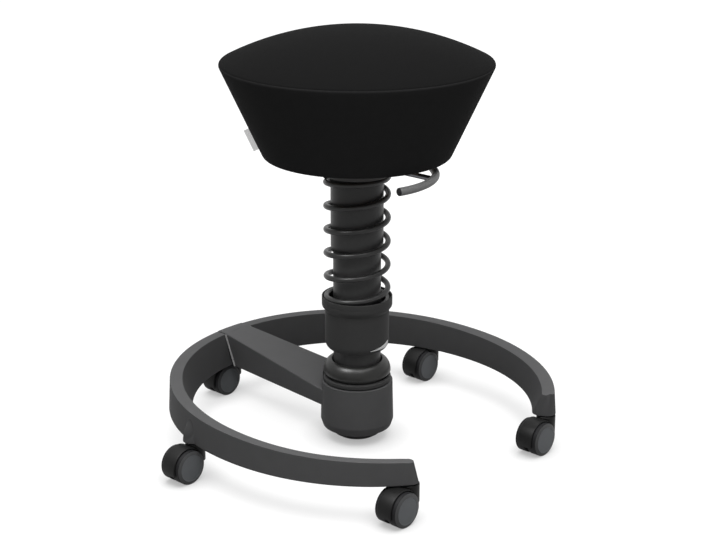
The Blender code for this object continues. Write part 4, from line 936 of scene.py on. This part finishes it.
def spring_path():
    """The middle of the wire: a closed turn, the open turns, a level part under the plate."""
    low = SPRING_LOW + SPRING_WIRE / 2
    high = SPRING_HIGH - SPRING_WIRE / 2
    opened = (high - low - SPRING_CLOSED_RISE) / SPRING_PITCH
    total = opened + 1 + SPRING_TOP_TURN
    count = SPRING_STEPS
    path = []
    for k in range(count + 1):
        turn = total * k / count
        if turn < 1:
            z = low + SPRING_CLOSED_RISE * turn
        elif turn > opened + 1:
            z = high
        else:
            z = low + SPRING_CLOSED_RISE + SPRING_PITCH * (turn - 1)
        path.append((turn, z))
    smooth = []
    for k in range(count + 1):
        span = min(SPRING_BLEND, k, count - k)
        part = path[k - span:k + span + 1]
        angle = math.radians(180 + 360 * path[k][0])
        z = sum(p[1] for p in part) / len(part)
        smooth.append(Vector((SPRING_MIDDLE * math.cos(angle), SPRING_MIDDLE * math.sin(angle), z)))
    return smooth


def add_column():
    add_turned("foot_cap", [
        (0, 0.0045, 0), (0.0300, 0.0045, 0.0010), (0.0325, 0.0070, 0.0006), (0.0325, 0.0079, 0.0003),
        (0.0365, 0.0086, 0.0006), (0.0365, 0.0098, 0.0002), (0.0348, 0.0098, 0.0002),
        (0.0348, 0.0106, 0.0002), (0.0365, 0.0106, 0.0002), (0.0365, 0.0125, 0.0006),
        (0.0120, 0.0125, 0.0003), (0.0120, 0.0210, 0.0006), (0, 0.0210, 0)],
        "base", "hub_coat", "hub_foot_cap", closed=False)
    add_turned("clamp_band", [
        (HUB_MOUTH, 0.0933, 0.0003), (0.0500, 0.0933, 0.0003), (0.0500, 0.0942, 0.0003),
        (0.0517, 0.0950, 0.0008), (0.0517, 0.1004, 0.0008), (0.0500, 0.1012, 0.0003),
        (0.0500, 0.1018, 0.0003), (HUB_MOUTH, 0.1018, 0.0003)], "base", "column_black", "clamp_ring")
    boot = eased([(0.0455, 0.1021, 0), (0.0466, 0.1021, 0.0003), (0.0466, 0.1072, 0.0006),
                  (0.0508, 0.1076, 0.0006), (0.0515, BOOT_DOME_HEIGHT, 0)], closed=False, steps=3)
    for k in range(1, 25):
        angle = math.radians(90 * k / 24)
        boot.append(Vector((BOOT_DOME + 0.0124 * math.cos(angle),
                            BOOT_DOME_HEIGHT + 0.0190 * math.sin(angle))))
    boot += [Vector(p) for p in ((0.0385, 0.1274), (0.0382, 0.1266), (0.0382, 0.1250), (0.0455, 0.1180))]
    add("boot_dome", mesh_of("boot_dome", lathe(boot), sharp=45), MATERIALS["rubber_black"], "base",
        "rubber_black", "boot")
    add_turned("neck_sleeve", [
        (0.0320, 0.1245, 0.0004), (0.0361, 0.1245, 0.0006), (0.0361, 0.3658, 0.0006),
        (0.0320, 0.3658, 0.0004)], "column_lower", "sleeve_black", "lower_sleeve")
    add("collar_cup", mesh_of("collar_cup", collar_cup()), MATERIALS["column_black"], "collar",
        "column_black", "adjusting_collar")
    add("collar_mark", mesh_of("collar_mark", collar_mark()), mark_pale, "collar", "column_black")
    path, radii = round_ended(spring_path(), SPRING_WIRE / 2)
    coil = add("coil", mesh_of("coil", sweep(path, radii, 22)), MATERIALS["spring_black"],
               "column_lower", "spring_black", "coil_spring")
    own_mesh(coil)
    add_turned("outer_sleeve", [
        (0.0376, 0.3086, 0.0005), (0.0396, 0.3086, 0.0007), (0.0396, 0.4180, 0.0005),
        (0.0376, 0.4180, 0.0004)], "column_upper", "sleeve_black", "upper_sleeve")
    # The plate takes the lighter painted-light copy of column_black.
    add_turned("spring_plate", [
        (0.0253, 0.4183, 0), (0.0396, 0.4183, 0.0004), (0.0396, 0.4197, 0.0003), (0.0502, 0.4197, 0.0007),
        (0.0502, 0.4328, 0.0010), (0.0361, 0.4328, 0.0005), (0.0361, 0.4246, 0.0003),
        (0.0253, 0.4246, 0.0003)], "column_upper", "column_black", "upper_spring_plate", finish=plate_painted_light)


def add_lever():
    path = [Vector((0, 0.005, LEVER_HEIGHT)), Vector((0, -0.01, LEVER_HEIGHT))]
    low = Vector((0, -0.024, LEVER_HEIGHT))
    bend = Vector((0, -0.03, LEVER_HEIGHT))
    high = Vector((0, -0.0420, 0.43914))
    for k in range(9):
        t = k / 8
        path.append(low * (1 - t) ** 2 + bend * 2 * t * (1 - t) + high * t * t)
    path.append(Vector((0.0030, -0.0680, 0.4371)))
    path.append(Vector((0.0055, -0.0900, 0.4354)))
    path.append(Vector((0.0115, -0.1320, 0.4336)))
    points, radii = round_ended(path, ROD_RADIUS)
    for i, point in enumerate(points):
        if radii[i] == ROD_RADIUS:
            radii[i] += ROD_SWELL * ramp(-point.y, 0.045, 0.065)
    rod = mesh_of("rod", sweep(points, radii, 20))
    eye = mesh_of("eye", lathe(eased([(0.0022, -0.005, 0.0003), (0.005, -0.005, 0.0006),
                                      (0.005, 0.005, 0.0006), (0.0022, 0.005, 0.0003)]), sides=48))
    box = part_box("lever_pin")
    middle = (box[0] + box[1]) / 2
    eye.transform(Matrix.Translation(middle) @ Matrix.Rotation(math.radians(90), 4, "Y"))
    add("lever_bar", joined("lever_bar", [rod, eye]), MATERIALS["dark_steel"], "release_lever",
        "dark_steel", "lever_rod")
    arc = []
    for k in range(41):
        angle = math.radians(GRIP_START + GRIP_SPAN * k / 40)
        arc.append(GRIP_CENTRE + Vector((GRIP_ARC * math.cos(angle), GRIP_ARC * math.sin(angle), 0)))
    points, radii = round_ended(arc, GRIP_RADIUS)
    handle = mesh_of("lever_handle", sweep(points, radii, 28))
    handle.materials.append(MATERIALS["grip_grey"])
    handle.materials.append(tread_black)
    for end, inward in ((arc[0], arc[1]), (arc[-1], arc[-2])):
        for face in handle.polygons:
            if (face.center - end).dot(end - inward) > 0:
                face.material_index = 1
    add("lever_handle", handle, MATERIALS["grip_grey"], "release_lever", "grip_grey", "lever_grip")


def seat_profile():
    """From the crown's middle down the side, round the foot and in to the base plate."""
    rim_z = SEAT_LOW + SEAT_SIDE
    ball = (SEAT_RIM ** 2 + SEAT_CROWN ** 2) / (2 * SEAT_CROWN)
    centre = rim_z + SEAT_CROWN - ball
    whole = math.asin(SEAT_RIM / ball)
    crown = []
    steps = 44
    for k in range(steps + 1):
        angle = whole * k / steps
        crown.append((ball * math.sin(angle), centre + ball * math.cos(angle), 0))
    side = []
    rows = 26
    for k in range(1, rows):
        t = k / rows
        side.append((SEAT_RIM + (SEAT_FOOT - SEAT_RIM) * t, rim_z - SEAT_SIDE * t, 0))
    crown[-1] = (SEAT_RIM, rim_z, SEAT_RIM_ROUND)
    kept = [c for c in crown[:-1] if c[0] < SEAT_RIM - 0.0085] + [crown[-1]]
    low = [s for s in side if rim_z - s[1] > 0.008 and s[1] - SEAT_LOW > 0.009]
    corners = kept + low
    corners += [(SEAT_FOOT, SEAT_LOW, SEAT_FOOT_ROUND), (SEAT_TUCK, SEAT_LOW, 0),
                (SEAT_OPENING, SEAT_LOW, 0.0006), (SEAT_OPENING, SEAT_PLATE_LOW, 0.0004),
                (SEAT_PLATE_RADIUS, SEAT_PLATE_LOW, 0), (SEAT_PLATE_RADIUS, SEAT_PLATE_TOP, 0),
                (0, SEAT_PLATE_TOP, 0)]
    return eased(corners, closed=False)


def fill(cushion, most=0.0012):
    """Press the cover out from inside, held at its foot and along the rim's seam."""
    mesh = cushion.data
    rim_z = SEAT_LOW + SEAT_SIDE
    held = cushion.vertex_groups.new(name="held")
    for v in mesh.vertices:
        radius = math.hypot(v.co.x, v.co.y)
        low = v.co.z < SEAT_LOW + 0.016
        seam = abs(v.co.z - rim_z) < 0.004 and radius > SEAT_RIM - 0.006
        if low or seam:
            held.add([v.index], 1.0, "REPLACE")
    start = [v.co.copy() for v in mesh.vertices]
    cloth = cushion.modifiers.new("filling", "CLOTH")
    cloth.settings.quality = 6
    cloth.settings.mass = 0.3
    cloth.settings.tension_stiffness = 40
    cloth.settings.compression_stiffness = 40
    cloth.settings.shear_stiffness = 20
    cloth.settings.bending_stiffness = 4
    cloth.settings.use_pressure = True
    cloth.settings.uniform_pressure_force = 4
    cloth.settings.vertex_group_mass = "held"
    cloth.settings.effector_weights.gravity = 0
    cloth.point_cache.frame_start = 1
    cloth.point_cache.frame_end = FILL_FRAMES
    for number in range(1, FILL_FRAMES + 1):
        scene.frame_set(number)
    shaped = cushion.evaluated_get(bpy.context.evaluated_depsgraph_get()).data
    for v, place, moved in zip(mesh.vertices, start, shaped.vertices):
        step = moved.co - place
        if step.length > most:
            step = step.normalized() * most
        v.co = place + step
    cushion.modifiers.remove(cloth)
    scene.frame_set(1)
    mesh.update()


def add_seat():
    mesh = mesh_of("cushion", lathe(seat_profile(), closed=False, sides=144), sharp=60)
    cushion = add("seat_cushion", mesh, MATERIALS["seat_fabric"], "seat", "seat_fabric",
                  "seat_cover", "seat_foam")
    fill(cushion)
    slope = math.atan2(SEAT_SIDE, SEAT_RIM - SEAT_FOOT)
    along = Vector((math.cos(slope), 0, math.sin(slope)))
    out = Vector((math.sin(slope), 0, -math.cos(slope)))
    start = Vector((SEAT_FOOT, 0, SEAT_LOW)) + along * TAG_UP_SIDE - out * TAG_SUNK
    outline = eased([(0, 0, 0), (TAG_LENGTH, 0, 0), (TAG_LENGTH, TAG_WIDTH, 0.0008),
                     (0, TAG_WIDTH, 0.0008)])
    sections = []
    for depth, shrink in ((-0.0005, 0.00015), (-0.00035, 0.0), (0.00035, 0.0), (0.0005, 0.00015)):
        ring = []
        for p in outline:
            sway = TAG_SWAY * math.sin(p.y / TAG_WIDTH * 1.4) * math.sin(math.pi * p.x / TAG_LENGTH)
            q = start + along * (p.x * (1 - shrink)) + out * p.y
            ring.append(Vector((q.x, depth + sway, q.z)))
        sections.append(ring)
    tag = mesh_of("tag", loft(sections))
    tag.transform(Matrix.Rotation(math.radians(TAG_TURN), 4, "Z"))
    add("side_tag", tag, MATERIALS["tag_cloth"], "seat", "tag_cloth", "seat_tag")


def add_camera():
    """The camera that took the photograph, fitted to the ring, the hub and the seat."""
    data = bpy.data.cameras.new("camera")
    data.lens = 82.66
    data.sensor_width = 36.0
    data.shift_x = 0.00123
    data.clip_start = 0.05
    data.clip_end = 60.0
    camera = bpy.data.objects.new("camera", data)
    camera.location = (-1.730, -1.582, 1.0549)
    camera.rotation_euler = (math.radians(71.47), 0.0, math.radians(-47.56))
    scene.collection.objects.link(camera)
    scene.camera = camera


def seen_rays(tree):
    """One for rays from the camera, from a gloss or through a clear piece, and nought for others."""
    path = tree.nodes.new("ShaderNodeLightPath")
    first = tree.nodes.new("ShaderNodeMath")
    first.operation = "MAXIMUM"
    tree.links.new(path.outputs["Is Glossy Ray"], first.inputs[0])
    tree.links.new(path.outputs["Is Transmission Ray"], first.inputs[1])
    both = tree.nodes.new("ShaderNodeMath")
    both.operation = "MAXIMUM"
    tree.links.new(path.outputs["Is Camera Ray"], both.inputs[0])
    tree.links.new(first.outputs[0], both.inputs[1])
    return both.outputs[0]


def add_floor():
    """Grey paper seen as nearly white, darker close under the casters and the hub by their real shadow and
    by painted shadow.
    """
    size = 14.0
    mesh = bpy.data.meshes.new("floor")
    mesh.from_pydata([(-size, -size, 0), (size, -size, 0), (size, size, 0), (-size, size, 0)],
                     [], [(0, 1, 2, 3)])
    floor = bpy.data.objects.new("floor", mesh)
    scene.collection.objects.link(floor)
    paper = material("floor_paper", (0.25, 0.25, 0.25), (0.26, 0.26, 0.26), 8, 0.9, specular=0.0)
    nodes = paper.node_tree.nodes
    links = paper.node_tree.links
    where = nodes.new("ShaderNodeNewGeometry")
    away = nodes.new("ShaderNodeVectorMath")
    away.operation = "LENGTH"
    links.new(where.outputs["Position"], away.inputs[0])
    far = nodes.new("ShaderNodeMapRange")
    far.interpolation_type = "SMOOTHSTEP"
    far.inputs["From Min"].default_value = 0.6
    far.inputs["From Max"].default_value = 1.8
    far.inputs["To Min"].default_value = 0.77
    far.inputs["To Max"].default_value = 1.0
    links.new(away.outputs["Value"], far.inputs["Value"])
    # Painted shadow: the paper's white glow is dimmed where ambient occlusion finds the casters and the hub
    # close by.
    close = nodes.new("ShaderNodeAmbientOcclusion")
    close.inputs["Distance"].default_value = 0.045
    painted_contact_shadow = nodes.new("ShaderNodeMapRange")
    painted_contact_shadow.inputs["To Min"].default_value = 0.45
    links.new(close.outputs["AO"], painted_contact_shadow.inputs["Value"])
    open_share = nodes.new("ShaderNodeMath")
    open_share.operation = "MULTIPLY"
    links.new(painted_contact_shadow.outputs["Result"], open_share.inputs[0])
    links.new(far.outputs["Result"], open_share.inputs[1])
    lift = nodes.new("ShaderNodeMath")
    lift.operation = "MULTIPLY"
    links.new(seen_rays(paper.node_tree), lift.inputs[0])
    links.new(open_share.outputs[0], lift.inputs[1])
    bsdf = nodes["Principled BSDF"]
    bsdf.inputs["Emission Color"].default_value = (1, 1, 1, 1)
    links.new(lift.outputs[0], bsdf.inputs["Emission Strength"])
    mesh.materials.append(paper)


def add_world():
    """A dim pale room that is plain white to the rays of seen_rays."""
    world = bpy.data.worlds.new("studio")
    world.use_nodes = True
    nodes = world.node_tree.nodes
    links = world.node_tree.links
    background = nodes["Background"]
    background.inputs["Color"].default_value = (1, 1, 1, 1)
    level = nodes.new("ShaderNodeMapRange")
    level.inputs["To Min"].default_value = 0.13
    level.inputs["To Max"].default_value = 1.0
    links.new(seen_rays(world.node_tree), level.inputs["Value"])
    links.new(level.outputs["Result"], background.inputs["Strength"])
    scene.world = world


def add_light(name, place, aim, size, watts):
    data = bpy.data.lights.new(name, "AREA")
    data.shape = "DISK"
    data.size = size
    data.energy = watts
    light = bpy.data.objects.new(name, data)
    light.location = place
    light.rotation_euler = (Vector(aim) - Vector(place)).to_track_quat("-Z", "Y").to_euler()
    scene.collection.objects.link(light)
    return light


add("ring_band", mesh_of("ring_band", ring_band()), MATERIALS["ring_coat"], "base", "ring_coat",
    "base_ring")
add("hub_casting", hub_arm(), MATERIALS["hub_coat"], "base", "hub_coat", "hub_arm")
add_casters()
add_column()
add_lever()
add_seat()
add_camera()
add_floor()
add_world()
add_light("overhead", (-0.15, -0.15, 2.6), LIGHT_AIM, 3.2, 132)
add_light("front", (-0.83, -1.25, 2.0), LIGHT_AIM, 1.0, 11)
gleam = add_light("gleam", (-1.45, 0.30, 2.1), LIGHT_AIM, 1.2, 70)
gleam.visible_diffuse = False
